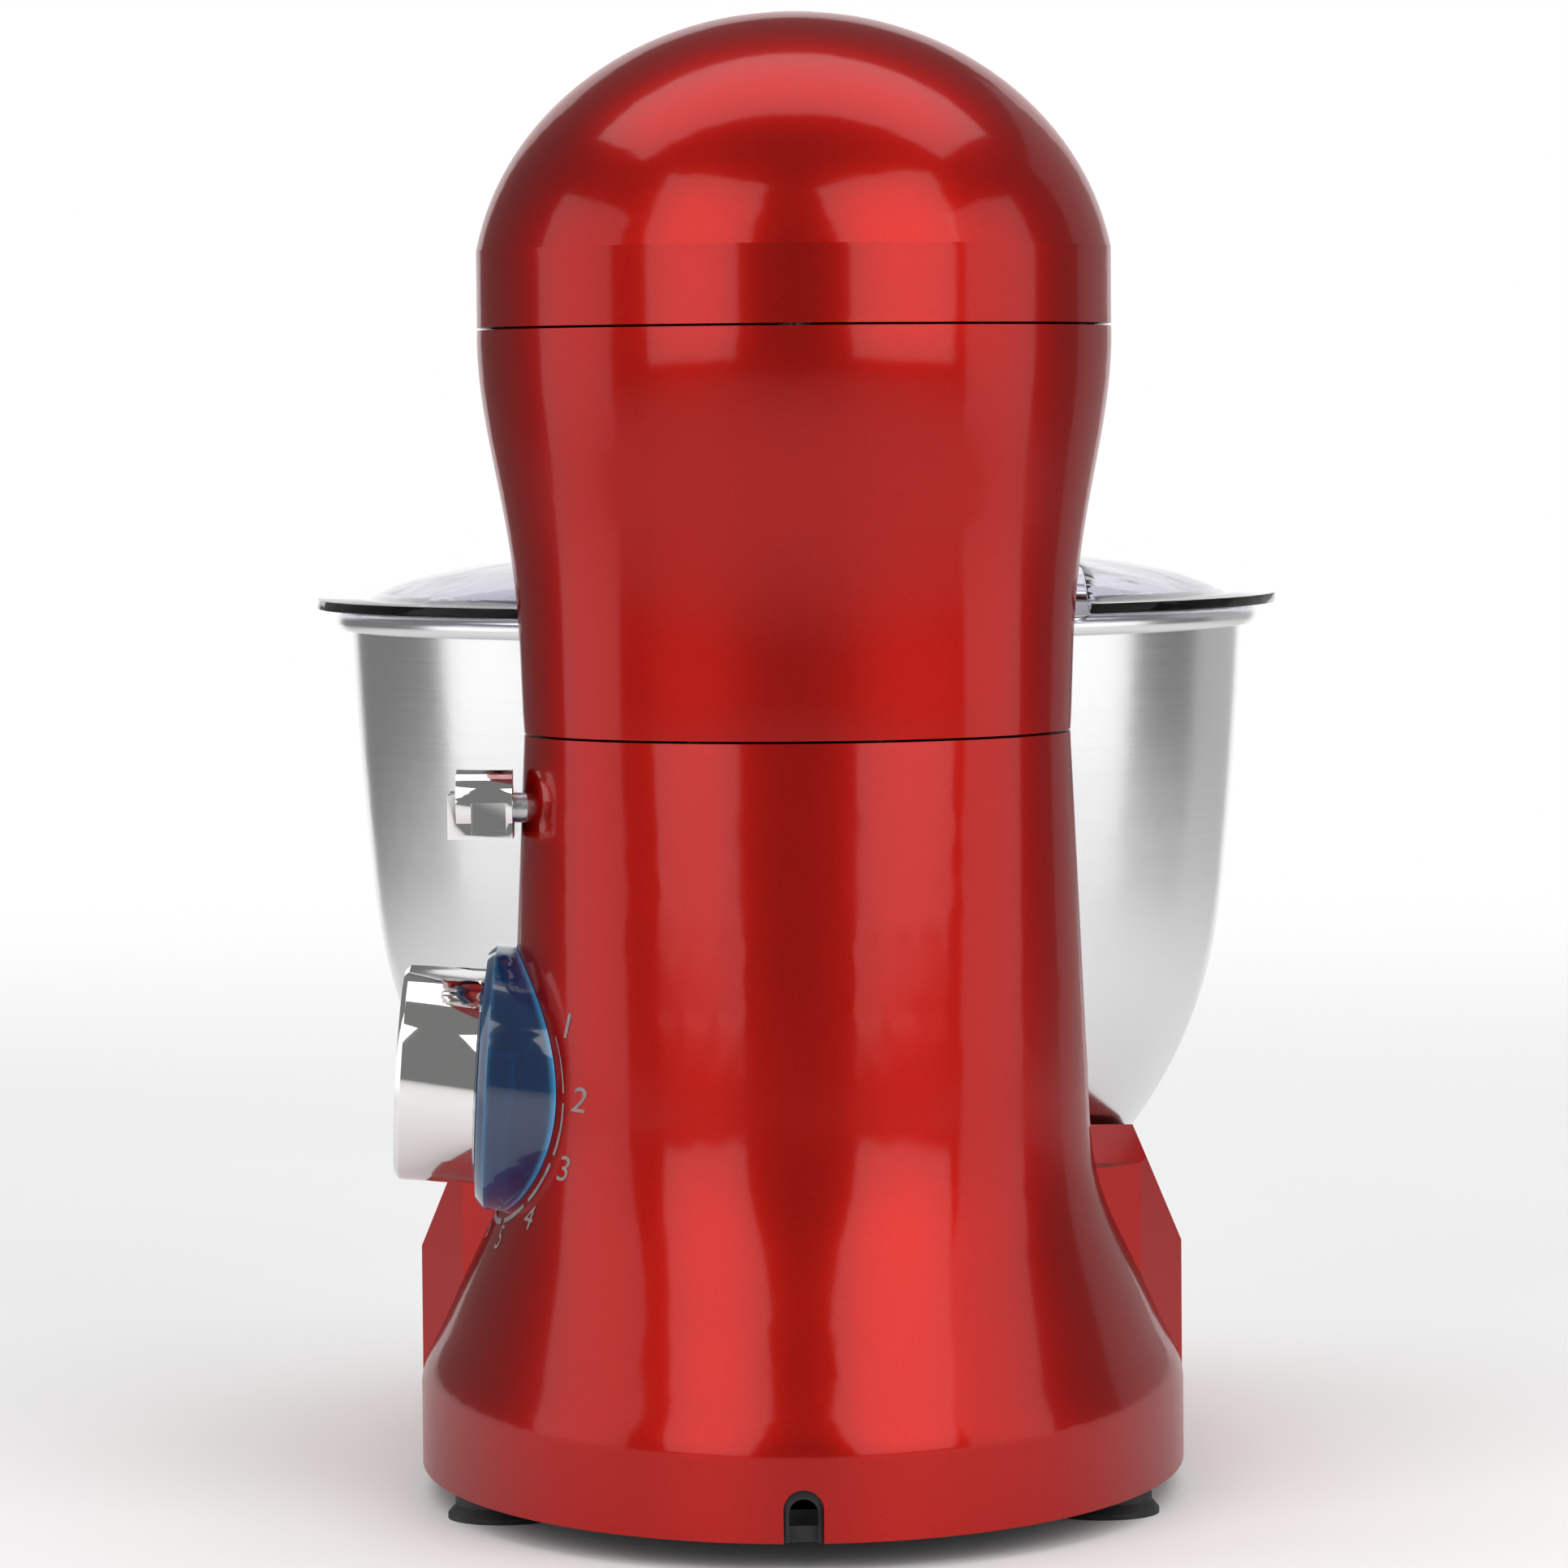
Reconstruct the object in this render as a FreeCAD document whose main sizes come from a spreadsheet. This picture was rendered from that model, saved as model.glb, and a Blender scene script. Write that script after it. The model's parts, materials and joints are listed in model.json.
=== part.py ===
import FreeCAD, Part
import math
import os
import re
import Sketcher
from fcgear import fcgear, involute

# Tilt-head stand mixer. Millimetres, +Z up, the nose points to -Y, the speed knob is on the +X side.
# The origin is on the table, under the middle of the overall length.

os.makedirs("parts", exist_ok=True)
doc = FreeCAD.newDocument("stand_mixer")
sheet = doc.addObject("Spreadsheet::Sheet", "dims")

DIMENSIONS = {
    # overall and base
    "overall_height": 350, "wall": 3, "run_gap": 0.06, "part_gap": 0.4, "seam_gap": 0.6, "plan_fullness": 1.4,
    "skirt_bottom": 6.5, "skirt_top": 23.5, "base_half_width": 91.6, "base_rear": 180,
    "base_front": 160, "block_side_top": 57, "block_top_half_width": 80, "block_top": 85,
    "block_front_top": 62, "block_rear": 46, "ridge_half_width": 81, "ridge_rear": 62, "saddle_top": 77.5,
    # column and tilting joint
    "seam_height": 183, "column_half_width": 63.4, "column_rear": 154, "column_front": 86,
    "column_centre": 100, "flare_top": 88, "side_lean": 7.8, "rear_lean": 4.8, "centre_lean": -20,
    "hinge_y": 132, "hinge_z": 162, "hinge_pin_radius": 4,
    "hinge_eye_radius": 8.5, "hinge_arm_inner": 18, "hinge_arm_width": 7.5, "hinge_ear_width": 8,
    # head
    "head_half_width": 73.9, "head_rear": 165, "head_front": 180, "band_top": 295, "dome_drop": 11.4,
    "head_seam": 277, "head_rear_centre": 88, "head_front_centre": -80, "underside": 230,
    "neck_fillet": 18, "skin": 2.6, "bevel_edge": 0.3, "bevel_depth": 3,
    # bowl and its seat
    "bowl_y": -35, "bowl_wall": 0.8, "bowl_bottom": 61, "bowl_foot_radius": 60, "bowl_rim_radius": 111.5,
    "bowl_rim_height": 205.6, "bead_radius": 2.4, "well_floor": 54,
    "ring_seat": 58, "ring_top": 74, "ring_radius": 84, "well_rim_radius": 92, "lug_reach": 4,
    "lug_thickness": 2, "lug_angle": 24, "unlock_turn": 30,
    # splash lid
    "lid_radius": 120.3, "lid_flange_bottom": 208.6, "lid_thickness": 2.4, "lid_dome_radius": 108,
    "lid_dome_top": 224, "lid_feed_half": 22, "lid_feed_x": -48, "lid_collar": 4,
    # planetary drive
    "gear_module": 1.25, "ring_teeth": 64, "planet_teeth": 16, "gear_backlash": 0.1, "hub_radius": 48,
    "hub_bottom": 207, "hub_top": 218, "socket_radius": 50, "socket_bottom": 219.5,
    "carrier_shaft_radius": 6, "spindle_radius": 5, "output_teeth": 60, "pinion_teeth": 16,
    "gearcase_top": 258, "ring_gear_bottom": 222, "ring_gear_height": 10,
    "output_bottom": 241, "output_height": 8, "spindle_low": 168, "spindle_top": 232, "socket_top": 196,
    "pin_height": 184, "pin_radius": 1.5, "pulley_radius": 38, "pulley_bottom": 290, "pulley_height": 10,
    "pulley_shaft_radius": 4, "belt_thickness": 2,
    # motor
    "motor_y": 112, "motor_bottom": 236, "rotor_low": 201, "stack_height": 30,
    "stack_half_x": 38, "stack_half_y": 29, "rotor_radius": 17, "air_gap": 0.6,
    "rotor_shaft_radius": 3, "motor_pulley_radius": 9, "fan_radius": 26,
    # beater
    "beater_half_width": 47, "beater_bottom": 67, "beater_shoulder": 146, "beater_thickness": 7,
    "beater_bar": 9, "beater_socket_radius": 9.5, "socket_length": 26,
    # speed control
    "knob_y": 96, "knob_z": 98.4, "knob_tilt": 3.5, "knob_radius": 25.1, "knob_face": 93.4,
    "light_ring_radius": 31.1, "light_ring_outer": 74.2, "light_ring_inner": 54, "knob_shaft_radius": 3,
    "switch_face": 49.6,
    # release lever
    "lever_y": 108, "lever_z": 166.5, "lever_reach": 15, "lever_shaft_radius": 3.5,
    # feet and outlet
    "foot_radius": 13.1, "foot_neck_radius": 11.4, "outlet_width": 9, "outlet_height": 12,
    "cover_thickness": 2.5, "screw_head": 3.4, "screw_rise": 1.5,
}
for row, (alias, number) in enumerate(DIMENSIONS.items(), start=1):
    sheet.set(f"A{row}", alias)
    sheet.set(f"B{row}", str(number))
    sheet.setAlias(f"B{row}", alias)
doc.recompute()

ALIASES = re.compile(r"\b(" + "|".join(DIMENSIONS) + r")\b")
pieces = []


def bound(formula):
    """A formula in the sheet's names, as FreeCAD wants it."""
    return ALIASES.sub(r"dims.\1", str(formula))


def size(formula):
    """The number that a formula in the sheet's names gives now."""
    return float(sheet.evalExpression(bound(formula)))


def bind(item, **formulas):
    for prop, formula in formulas.items():
        setattr(item, prop, size(formula))
        item.setExpression(prop, bound(formula))
    return item


def place(item, at=(0, 0, 0), turn=None):
    """Puts an item at a point given by three formulas, after a turn of (axis, degrees)."""
    spin = FreeCAD.Rotation(FreeCAD.Vector(*turn[0]), turn[1]) if turn else FreeCAD.Rotation()
    item.Placement = FreeCAD.Placement(FreeCAD.Vector(*[size(part) for part in at]), spin)
    for letter, formula in zip("xyz", at):
        item.setExpression("Placement.Base." + letter, bound(formula))
    return item


def keep(item, label):
    """Names an item as a finished piece of the mixer."""
    item.Label = label
    pieces.append(item)
    return item


TO_X = ((0, 1, 0), 90)


def cylinder(name, radius, height, at=(0, 0, 0), turn=None):
    item = bind(doc.addObject("Part::Cylinder", name), Radius=radius, Height=height)
    return place(item, at, turn)


def cone(name, radius_low, radius_high, height, at=(0, 0, 0), turn=None):
    item = bind(doc.addObject("Part::Cone", name), Radius1=radius_low, Radius2=radius_high, Height=height)
    return place(item, at, turn)


def block(name, length, width, height, at=(0, 0, 0)):
    """A box whose x and y are centred on the point, standing on it."""
    item = bind(doc.addObject("Part::Box", name), Length=length, Width=width, Height=height)
    corner = (f"({at[0]}) - ({length}) / 2", f"({at[1]}) - ({width}) / 2", at[2])
    return place(item, corner)


def cut(name, base, *tools):
    item = doc.addObject("Part::Cut", name)
    item.Base = base
    item.Tool = tools[0] if len(tools) == 1 else fuse(name + "_tools", *tools)
    return item


def fuse(name, *parts):
    item = doc.addObject("Part::MultiFuse", name)
    item.Shapes = list(parts)
    return item


def outward(shape):
    """The same solid with its faces pointing out."""
    solid = Part.Solid(Part.Shell(shape.Faces)) if shape.ShapeType == "Solid" else shape
    if solid.Volume < 0:
        solid.reverse()
    return solid


def formed(name, shape):
    """A piece whose shape comes from Part's own functions."""
    item = doc.addObject("Part::Feature", name)
    item.Shape = shape
    item.Placement = shape.Placement
    return item


def outline_sketch(body, name, role, corners):
    """A closed outline of straight lines in one of the body's own planes, every corner bound to the sheet."""
    sketch = body.newObject("Sketcher::SketchObject", name)
    plane = [feature for feature in body.Origin.OriginFeatures if feature.Role == role][0]
    sketch.AttachmentSupport = [(plane, "")]
    sketch.MapMode = "FlatFace"
    points = [FreeCAD.Vector(size(across), size(up), 0) for across, up in corners]
    count = len(points)
    for index in range(count):
        sketch.addGeometry(Part.LineSegment(points[index], points[(index + 1) % count]), False)
    for index in range(count):
        sketch.addConstraint(Sketcher.Constraint("Coincident", index, 2, (index + 1) % count, 1))
    for index, (across, up) in enumerate(corners):
        point = points[index]
        for kind, formula, number in (("DistanceX", across, point.x), ("DistanceY", up, point.y)):
            rule = sketch.addConstraint(Sketcher.Constraint(kind, -1, 1, index, 1, number))
            sketch.setExpression(f"Constraints[{rule}]", bound(formula))
    return sketch


def turned(name, outline, at=(0, 0, 0), turn=None):
    """A body of revolution about its own Z axis; the outline is (radius, height) pairs."""
    body = doc.addObject("PartDesign::Body", name)
    sketch = outline_sketch(body, name + "_outline", "XZ_Plane", outline)
    revolution = body.newObject("PartDesign::Revolution", name + "_turn")
    revolution.Profile = sketch
    revolution.ReferenceAxis = (sketch, ["V_Axis"])
    revolution.Angle = 360
    return place(body, at, turn)


def padded(name, role, outline, thickness, at=(0, 0, 0)):
    """A flat plate of one outline, its thickness split evenly about the plane."""
    body = doc.addObject("PartDesign::Body", name)
    sketch = outline_sketch(body, name + "_outline", role, outline)
    pad = body.newObject("PartDesign::Pad", name + "_pad")
    pad.Profile = sketch
    pad.Midplane = True
    bind(pad, Length=thickness)
    return place(body, at)


# ---- outer forms of the castings and mouldings, as plain shapes ----

def vector(x, y, z=0.0):
    return FreeCAD.Vector(x, y, z)


def half_ellipse(half_width, centre_y, tip_y, z):
    """A squared half ellipse from (half_width, centre_y) through (0, tip_y) to (-half_width, centre_y)."""
    curve = Part.ArcOfCircle(Part.Circle(), 0, math.pi).toBSpline()
    reach = tip_y - centre_y
    for index, pole in enumerate(curve.getPoles(), start=1):
        weight = curve.getWeight(index)
        if weight < 0.99:
            weight *= size("plan_fullness")
        curve.setPole(index, vector(half_width * pole.x, centre_y + reach * pole.y, z), weight)
    return [curve.toShape()]


def ring_wire(half_width, front_centre, front, rear_centre, rear, z):
    """A closed plan outline: straight sides with a half ellipse at the rear and at the front."""
    back = half_ellipse(half_width, rear_centre, rear, z)
    nose = half_ellipse(-half_width, front_centre, front, z)
    left = Part.LineSegment(vector(-half_width, rear_centre, z), vector(-half_width, front_centre, z))
    right = Part.LineSegment(vector(half_width, front_centre, z), vector(half_width, rear_centre, z))
    return Part.Wire(back + [left.toShape()] + nose + [right.toShape()])


def flat_front_wire(half_width, front, rear_centre, rear, z):
    """A closed plan outline with a half ellipse at the rear and a straight front."""
    corners = [vector(-half_width, rear_centre, z), vector(-half_width, front, z),
               vector(half_width, front, z), vector(half_width, rear_centre, z)]
    sides = [Part.LineSegment(a, b).toShape() for a, b in zip(corners, corners[1:])]
    return Part.Wire(half_ellipse(half_width, rear_centre, rear, z) + sides)


def prism(points, height):
    """Extrudes a closed polygon of points along a vector."""
    return outward(Part.Face(Part.makePolygon(points + [points[0]])).extrude(height))


def side_prism(profile, half_width):
    """A (y, z) polygon spread from -half_width to +half_width in x."""
    return prism([vector(-half_width, y, z) for y, z in profile], vector(2 * half_width, 0))


def filleted_step(y, z, far, high, radius, half_width):
    """The space in front of y and from z to high, its inner corner rounded."""
    tool = side_prism([(y, z), (y, high), (far, high), (far, z)], half_width)
    corner = [edge for edge in tool.Edges
              if all(abs(v.Y - y) < 1e-6 and abs(v.Z - z) < 1e-6 for v in edge.Vertexes)]
    return tool.makeFillet(radius, corner)


def dome(inset):
    """The head above its seam: a crown of elliptic section on a straight band, rounded at both ends."""
    base = size("band_top")
    drop = size("dome_drop")
    full_rise = size("overall_height") - base + drop
    share = math.sqrt(1 - (drop / full_rise) ** 2)
    half_width = size("head_half_width") - inset
    rear_centre = size("head_rear_centre")
    front_centre = size("head_front_centre")
    rear_reach = size("head_rear") - inset - rear_centre
    front_reach = size("head_front") - inset + front_centre
    highest = math.acos(0.07)
    rise = full_rise / math.sin(highest) - inset
    seam = size("head_seam") + size("seam_gap") / 2
    floor = seam - 2 if inset else seam

    def outline(scale, z):
        return ring_wire(half_width * scale, front_centre, front_centre - front_reach * scale,
                         rear_centre, rear_centre + rear_reach * scale, z)

    lowest = math.asin(drop / full_rise)
    steps = 9
    angles = [lowest + (highest - lowest) * step / steps for step in range(steps + 1)]
    wires = [outline(math.cos(angle) / share, base - drop + rise * math.sin(angle)) for angle in angles]
    crown = Part.makeLoft(wires, True)
    first = wires[0].BoundBox.ZMin
    band_foot = Part.Face(outline(math.cos(angles[0]) / share, floor))
    band = outward(band_foot.extrude(vector(0, 0, first - floor)))
    return outward(crown).fuse(band)


# how far the head has drawn in below its seam: (height, how much narrower than the band)
NECK_WAIST = [(257, 1.6), (242, 4.5), (227, 7.3), (212, 9.1)]

def neck(inset):
    """The head below its seam, before the front is cut to the underside."""
    seam = size("head_seam") - size("seam_gap") / 2
    low = size("seam_height") + size("seam_gap")
    widest = size("head_half_width")
    waist = widest - size("column_half_width")
    levels = [(seam, 0)] + NECK_WAIST + [(low, waist)]
    if inset:
        levels = [(seam + 1, 0)] + NECK_WAIST + [(low - 1, waist)]
    wires = []
    for z, narrower in levels:
        half_width = widest - narrower - inset
        rear = size("head_rear") - narrower * (size("head_rear") - size("column_rear")) / waist - inset
        front = -size("head_front") + 2.2 * narrower + inset
        blend = narrower / waist
        centre = size("head_rear_centre") * (1 - blend) + size("column_centre") * blend
        wires.append(ring_wire(half_width, size("head_front_centre"), front, centre, rear, z))
    body = outward(Part.makeLoft(wires, True))
    open_front = filleted_step(size("column_front") + inset, size("underside") + inset, -300, 100,
                               size("neck_fillet"), 200)
    return body.cut(open_front)


def flare_share(z):
    """How much of the flare is reached at a height: all of it on the skirt, none above the flare's top."""
    climb = (z - size("skirt_top")) / (size("flare_top") - size("skirt_top"))
    return (1 - climb) ** 2 * (1 + 1.5 * climb) if climb < 1 else 0


def column_levels():
    """(height, half width, rear, centre of the rear curve), evenly spaced from the seam to the skirt."""
    top = size("seam_height")
    tall = top - size("skirt_top")
    lean = {part: size(part + "_lean") for part in ("side", "rear", "centre")}
    spread = {"side": size("base_half_width") - size("column_half_width") - lean["side"],
              "rear": size("base_rear") - size("column_rear") - lean["rear"],
              "centre": size("block_rear") - size("column_centre") - lean["centre"]}
    start = {"side": size("column_half_width"), "rear": size("column_rear"), "centre": size("column_centre")}
    steps = 12
    levels = []
    for step in range(steps + 1):
        z = top - tall * step / steps
        along = [start[part] + lean[part] * step / steps + spread[part] * flare_share(z) for part in start]
        levels.append((z, *along))
    return levels


# how far the column's front leans towards the bowl, going down: (height, distance before the front)
FRONT_LEAN = [(170, 0), (140, 10), (108, 18), (92, 24)]
SADDLE_LEAN = 32


def column(inset):
    """The column and its flare, with the bowl's side cut away."""
    levels = column_levels()
    if inset:
        levels[0] = (levels[0][0] + 1, *levels[0][1:])
    wires = [flat_front_wire(half_width - inset, 0, centre, rear - inset, z)
             for z, half_width, rear, centre in levels]
    flare = outward(Part.makeLoft(wires, True))
    low = size("skirt_bottom") - (1 if inset else 0)
    foot = flat_front_wire(size("base_half_width") - inset, 0, size("block_rear"),
                           size("base_rear") - inset, low)
    skirt = outward(Part.Face(foot).extrude(vector(0, 0, size("skirt_top") - low)))
    front = size("column_front") + inset
    saddle = size("saddle_top") - inset
    lean = [(front - forward, z) for z, forward in FRONT_LEAN]
    below = [(front - SADDLE_LEAN, saddle), (-300, saddle), (-300, 300)]
    bowl_side = side_prism([(front, 300)] + lean + below, 200)
    return flare.fuse(skirt).cut(bowl_side)


def base_block(inset):
    """The raised block that carries the bowl: upright sides, bevelled shoulders and a rounded front."""
    low = size("skirt_bottom") - (1 if inset else 0)
    top = size("block_top") if inset == 0 else size("well_floor") - inset
    half_width = size("base_half_width") - inset
    ridge = size("ridge_half_width") - inset
    front = -size("base_front") + inset
    front_centre = -60
    nose = half_ellipse(-half_width, front_centre, front, low)
    corners = [vector(half_width, front_centre, low), vector(half_width, size("block_rear"), low),
               vector(ridge, size("ridge_rear") - inset / 2, low), vector(55, size("column_front") + 4, low),
               vector(-55, size("column_front") + 4, low), vector(-ridge, size("ridge_rear") - inset / 2, low),
               vector(-half_width, size("block_rear"), low), vector(-half_width, front_centre, low)]
    sides = [Part.LineSegment(a, b).toShape() for a, b in zip(corners, corners[1:])]
    body = outward(Part.Face(Part.Wire(nose + sides)).extrude(vector(0, 0, top - low)))
    if inset:
        return body
    rise = size("block_top") - size("block_side_top")
    lean = size("base_half_width") - size("block_top_half_width")
    for side in (-1, 1):
        low_edge = size("block_side_top")
        high_edge = low_edge + 2 * rise
        shoulder = [vector(side * size("base_half_width"), 300, low_edge),
                    vector(side * (size("base_half_width") - 2 * lean), 300, high_edge),
                    vector(side * 200, 300, high_edge), vector(side * 200, 300, low_edge)]
        body = body.cut(prism(shoulder, vector(0, -600)))
    rear_edge = size("block_rear")
    over = [(-300, size("block_front_top")), (-size("base_front"), size("block_front_top")),
            (rear_edge, size("block_top")), (size("ridge_rear"), size("saddle_top")),
            (300, size("saddle_top")), (300, 300), (-300, 300)]
    return body.cut(side_prism(over, 200))


def revolved(outline):
    """A solid of revolution about Z from (radius, height) numbers."""
    corners = [vector(r, 0, z) for r, z in outline]
    face = Part.Face(Part.makePolygon(corners + corners[:1]))
    return outward(face.revolve(vector(0, 0, 0), vector(0, 0, 1), 360))


def bowl_axis(shape):
    return shape.translated(vector(0, size("bowl_y"), 0))


def well():
    """The seat cut into the block for the bowl's foot, the lock ring and the bowl's curved side."""
    radius = size("ring_radius") + size("part_gap")
    lug_room = size("bowl_foot_radius") + size("lug_reach") + 2
    outline = [(0, size("well_floor")), (lug_room, size("well_floor")), (lug_room, size("ring_seat")),
               (radius, size("ring_seat")), (radius, size("ring_top")),
               (size("well_rim_radius"), size("block_top")), (size("well_rim_radius"), 120), (0, 120)]
    return bowl_axis(revolved(outline))


def knob_frame():
    """From the knob's own frame (axis along +Z) to its place on the column's +X side."""
    turn = FreeCAD.Rotation(vector(0, 1, 0), 90 - size("knob_tilt"))
    return FreeCAD.Placement(vector(0, size("knob_y"), size("knob_z")), turn)


def at_knob(shape):
    shape.Placement = knob_frame().multiply(shape.Placement)
    return shape


def make_base_housing():
    body = column(0).fuse(base_block(0)).cut(well())
    inside = column(size("wall")).fuse(base_block(size("wall")))
    body = body.cut(inside)
    outlet = size("outlet_width") / 2
    arch_top = size("skirt_bottom") + size("outlet_height")
    slot = Part.makeBox(2 * outlet, 40, size("outlet_height") - outlet + 2,
                        vector(-outlet, size("base_rear") - 20, size("skirt_bottom") - 2))
    arch = Part.makeCylinder(outlet, 40, vector(0, size("base_rear") - 20, arch_top - outlet),
                             vector(0, 1, 0))
    lever_hole = Part.makeCylinder(size("lever_shaft_radius") + size("run_gap"), 40,
                                   vector(40, size("lever_y"), size("lever_z")), vector(1, 0, 0))
    knob_hole = at_knob(Part.makeCylinder(size("knob_shaft_radius") + 1, 60, vector(0, 0, 40)))
    return body.cut([slot, arch, lever_hole, knob_hole])


# ---- the base ----

keep(formed("base_housing", make_base_housing()), "base_housing")


def make_bottom_cover():
    inset = size("wall") + size("part_gap")
    low = size("skirt_bottom")
    slab = Part.makeBox(600, 600, size("cover_thickness"), vector(-300, -300, low))
    room = size("outlet_width") / 2 + size("part_gap")
    sleeve_room = Part.makeBox(2 * room, 40, 20, vector(-room, size("base_rear") - 12, low - 5))
    return column(inset).fuse(base_block(inset)).common(slab).cut(sleeve_room)


keep(formed("bottom_cover", make_bottom_cover()), "bottom_cover")

FOOT_PLACES = {"rear": (70, 100), "middle": (76, -8), "front": (54, -112)}
FOOT_OUTLINE = [("0", "skirt_bottom"), ("0", "2.2"), ("foot_radius - 3", "0"), ("foot_radius", "0"),
                ("foot_radius", "1.2"), ("foot_neck_radius", "3.2"), ("foot_neck_radius", "skirt_bottom")]
for pair, (foot_x, foot_y) in FOOT_PLACES.items():
    for side, side_name in ((1, "right"), (-1, "left")):
        label = f"suction_foot_{pair}_{side_name}"
        keep(turned(label, FOOT_OUTLINE, (side * foot_x, foot_y, 0)), label)

SCREW_PLACES = [(0, 120), (40, 60), (-40, 60), (0, -40), (60, -70), (-60, -70)]


def screw_heads(name, places, top):
    heads = []
    for index, (screw_x, screw_y) in enumerate(places, start=1):
        shape = cylinder(f"{name}_{index}", "screw_head", "screw_rise",
                         (screw_x, screw_y, f"{top} - screw_rise"))
        slot = block(f"{name}_{index}_slot", "screw_head * 1.4", "0.8", "screw_rise / 2",
                     (screw_x, screw_y, f"{top} - screw_rise"))
        heads.append(cut(f"{name}_{index}_head", shape, slot))
    group = doc.addObject("Part::Compound", name)
    group.Links = heads
    return keep(group, name)


screw_heads("cover_screws", SCREW_PLACES, "skirt_bottom")

lock_blank = turned("lock_blank", [
    ("bowl_foot_radius + 1", "ring_seat"), ("ring_radius", "ring_seat"), ("ring_radius", "ring_top"),
    ("ring_radius - 1.6", "ring_top"), ("ring_radius - 8", "ring_seat + 8"),
    ("bowl_foot_radius + 7", "ring_seat + 2.4"), ("bowl_foot_radius + 1", "ring_seat + 1.8")],
    (0, "bowl_y", 0))


def sector(radius_in, radius_out, low, high, middle, spread):
    """A piece of a ring about the Z axis, angles in degrees."""
    start = math.radians(middle - spread / 2)
    face = Part.Face(Part.makePolygon([vector(r, 0, z) for r, z in (
        (radius_in, low), (radius_out, low), (radius_out, high), (radius_in, high), (radius_in, low))]))
    piece = outward(face.revolve(vector(0, 0, 0), vector(0, 0, 1), spread))
    piece.rotate(vector(0, 0, 0), vector(0, 0, 1), math.degrees(start))
    return piece


LUG_ANGLES = [90, 210, 330]


def make_lug_slots():
    slots = [sector(size("bowl_foot_radius"), size("bowl_foot_radius") + size("lug_reach") + 0.8,
                    size("ring_seat") - 1, size("ring_seat") + 6, angle + size("unlock_turn"),
                    size("lug_angle") + 4) for angle in LUG_ANGLES]
    return bowl_axis(slots[0].fuse(slots[1:]))


keep(cut("bowl_lock_ring", lock_blank, formed("lug_slots", make_lug_slots())), "bowl_lock_ring")


def arch_prism(width, height, low, depth, rear):
    half = width / 2
    box = Part.makeBox(width, depth, height - half, vector(-half, rear - depth, low))
    top = Part.makeCylinder(half, depth, vector(0, rear - depth, low + height - half), vector(0, 1, 0))
    return box.fuse(top)


def make_outlet_sleeve():
    gap = 0.1
    outer = arch_prism(size("outlet_width") - 2 * gap, size("outlet_height") - gap, size("skirt_bottom"), 9,
                       size("base_rear") - 1.2)
    inner = arch_prism(size("outlet_width") - 2.4, size("outlet_height") - 1.2, size("skirt_bottom") - 1, 12,
                       size("base_rear") + 1)
    lip = Part.makeBox(size("outlet_width") - 2.4, 1.6, 3.6,
                       vector(-size("outlet_width") / 2 + 1.2, size("base_rear") - 4.4, size("skirt_bottom")))
    back = Part.makeBox(size("outlet_width") - 2.4, 1.6, size("outlet_height") - 5.6,
                        vector(-size("outlet_width") / 2 + 1.2, size("base_rear") - 10, size("skirt_bottom")))
    return outer.cut(inner).fuse([lip, back]).removeSplitter()


keep(formed("outlet_sleeve", make_outlet_sleeve()), "outlet_sleeve")

# hinge support: two ears on a cross plate, with the pin through them
EAR_MIDDLE = "hinge_arm_inner + hinge_arm_width + part_gap + hinge_ear_width / 2"
support_plate = block("support_plate", "74", "38", "4", ("0", "hinge_y - 13", "hinge_z - 28"))
support_wings = block("support_wings", "114", "14", "4", ("0", "hinge_y - 25", "hinge_z - 28"))
ears = []
for side, side_name in ((1, "right"), (-1, "left")):
    ear = padded(f"ear_{side_name}", "YZ_Plane", [
        ("hinge_y - hinge_eye_radius", "hinge_z"), ("hinge_y + hinge_eye_radius", "hinge_z"),
        ("hinge_y + hinge_eye_radius", "hinge_z - 24"), ("hinge_y - 16", "hinge_z - 24")],
        "hinge_ear_width", (f"{side} * ({EAR_MIDDLE})", 0, 0))
    eye = cylinder(f"ear_eye_{side_name}", "hinge_eye_radius", "hinge_ear_width",
                   (f"{side} * ({EAR_MIDDLE}) - hinge_ear_width / 2", "hinge_y", "hinge_z"), TO_X)
    ears += [ear, eye]
support_bore = cylinder("support_bore", "hinge_pin_radius", "140", ("-70", "hinge_y", "hinge_z"), TO_X)
support_body = fuse("support_body", support_plate, support_wings, *ears)
keep(cut("hinge_support", support_body, support_bore), "hinge_support")
PIN_HALF = f"({EAR_MIDDLE} + hinge_ear_width / 2 + 1.2)"
keep(cylinder("hinge_pin", "hinge_pin_radius", f"2 * {PIN_HALF}",
              (f"-{PIN_HALF}", "hinge_y", "hinge_z"), TO_X), "hinge_pin")

switch_body = block("switch_body", "20", "7", "11", ("-46", "hinge_y - 24", "hinge_z - 24"))
switch_button = block("switch_button", "3", "3", "2.5", ("-41", "hinge_y - 24", "hinge_z - 13"))
keep(fuse("tilt_switch", switch_body, switch_button), "tilt_switch")

# ---- speed control, on an axis that leans up a little from +X ----

KNOB_PARTS = {
    "knob_shaft": [("0", "switch_face + 0.4"), ("knob_shaft_radius", "switch_face + 0.4"),
                   ("knob_shaft_radius", "light_ring_outer + 9"), ("0", "light_ring_outer + 9")],
    "speed_switch": [("0", "switch_face - 15.6"), ("6.2", "switch_face - 15.6"), ("6.2", "switch_face - 3.6"),
                     ("4.5", "switch_face - 3.6"), ("4.5", "switch_face"), ("0", "switch_face")],
}


def set_on_knob_axis(item):
    item.Placement = knob_frame()
    item.setExpression("Placement.Base.y", bound("knob_y"))
    item.setExpression("Placement.Base.z", bound("knob_z"))
    return item


for label, outline in KNOB_PARTS.items():
    keep(set_on_knob_axis(turned(label, outline)), label)

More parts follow.
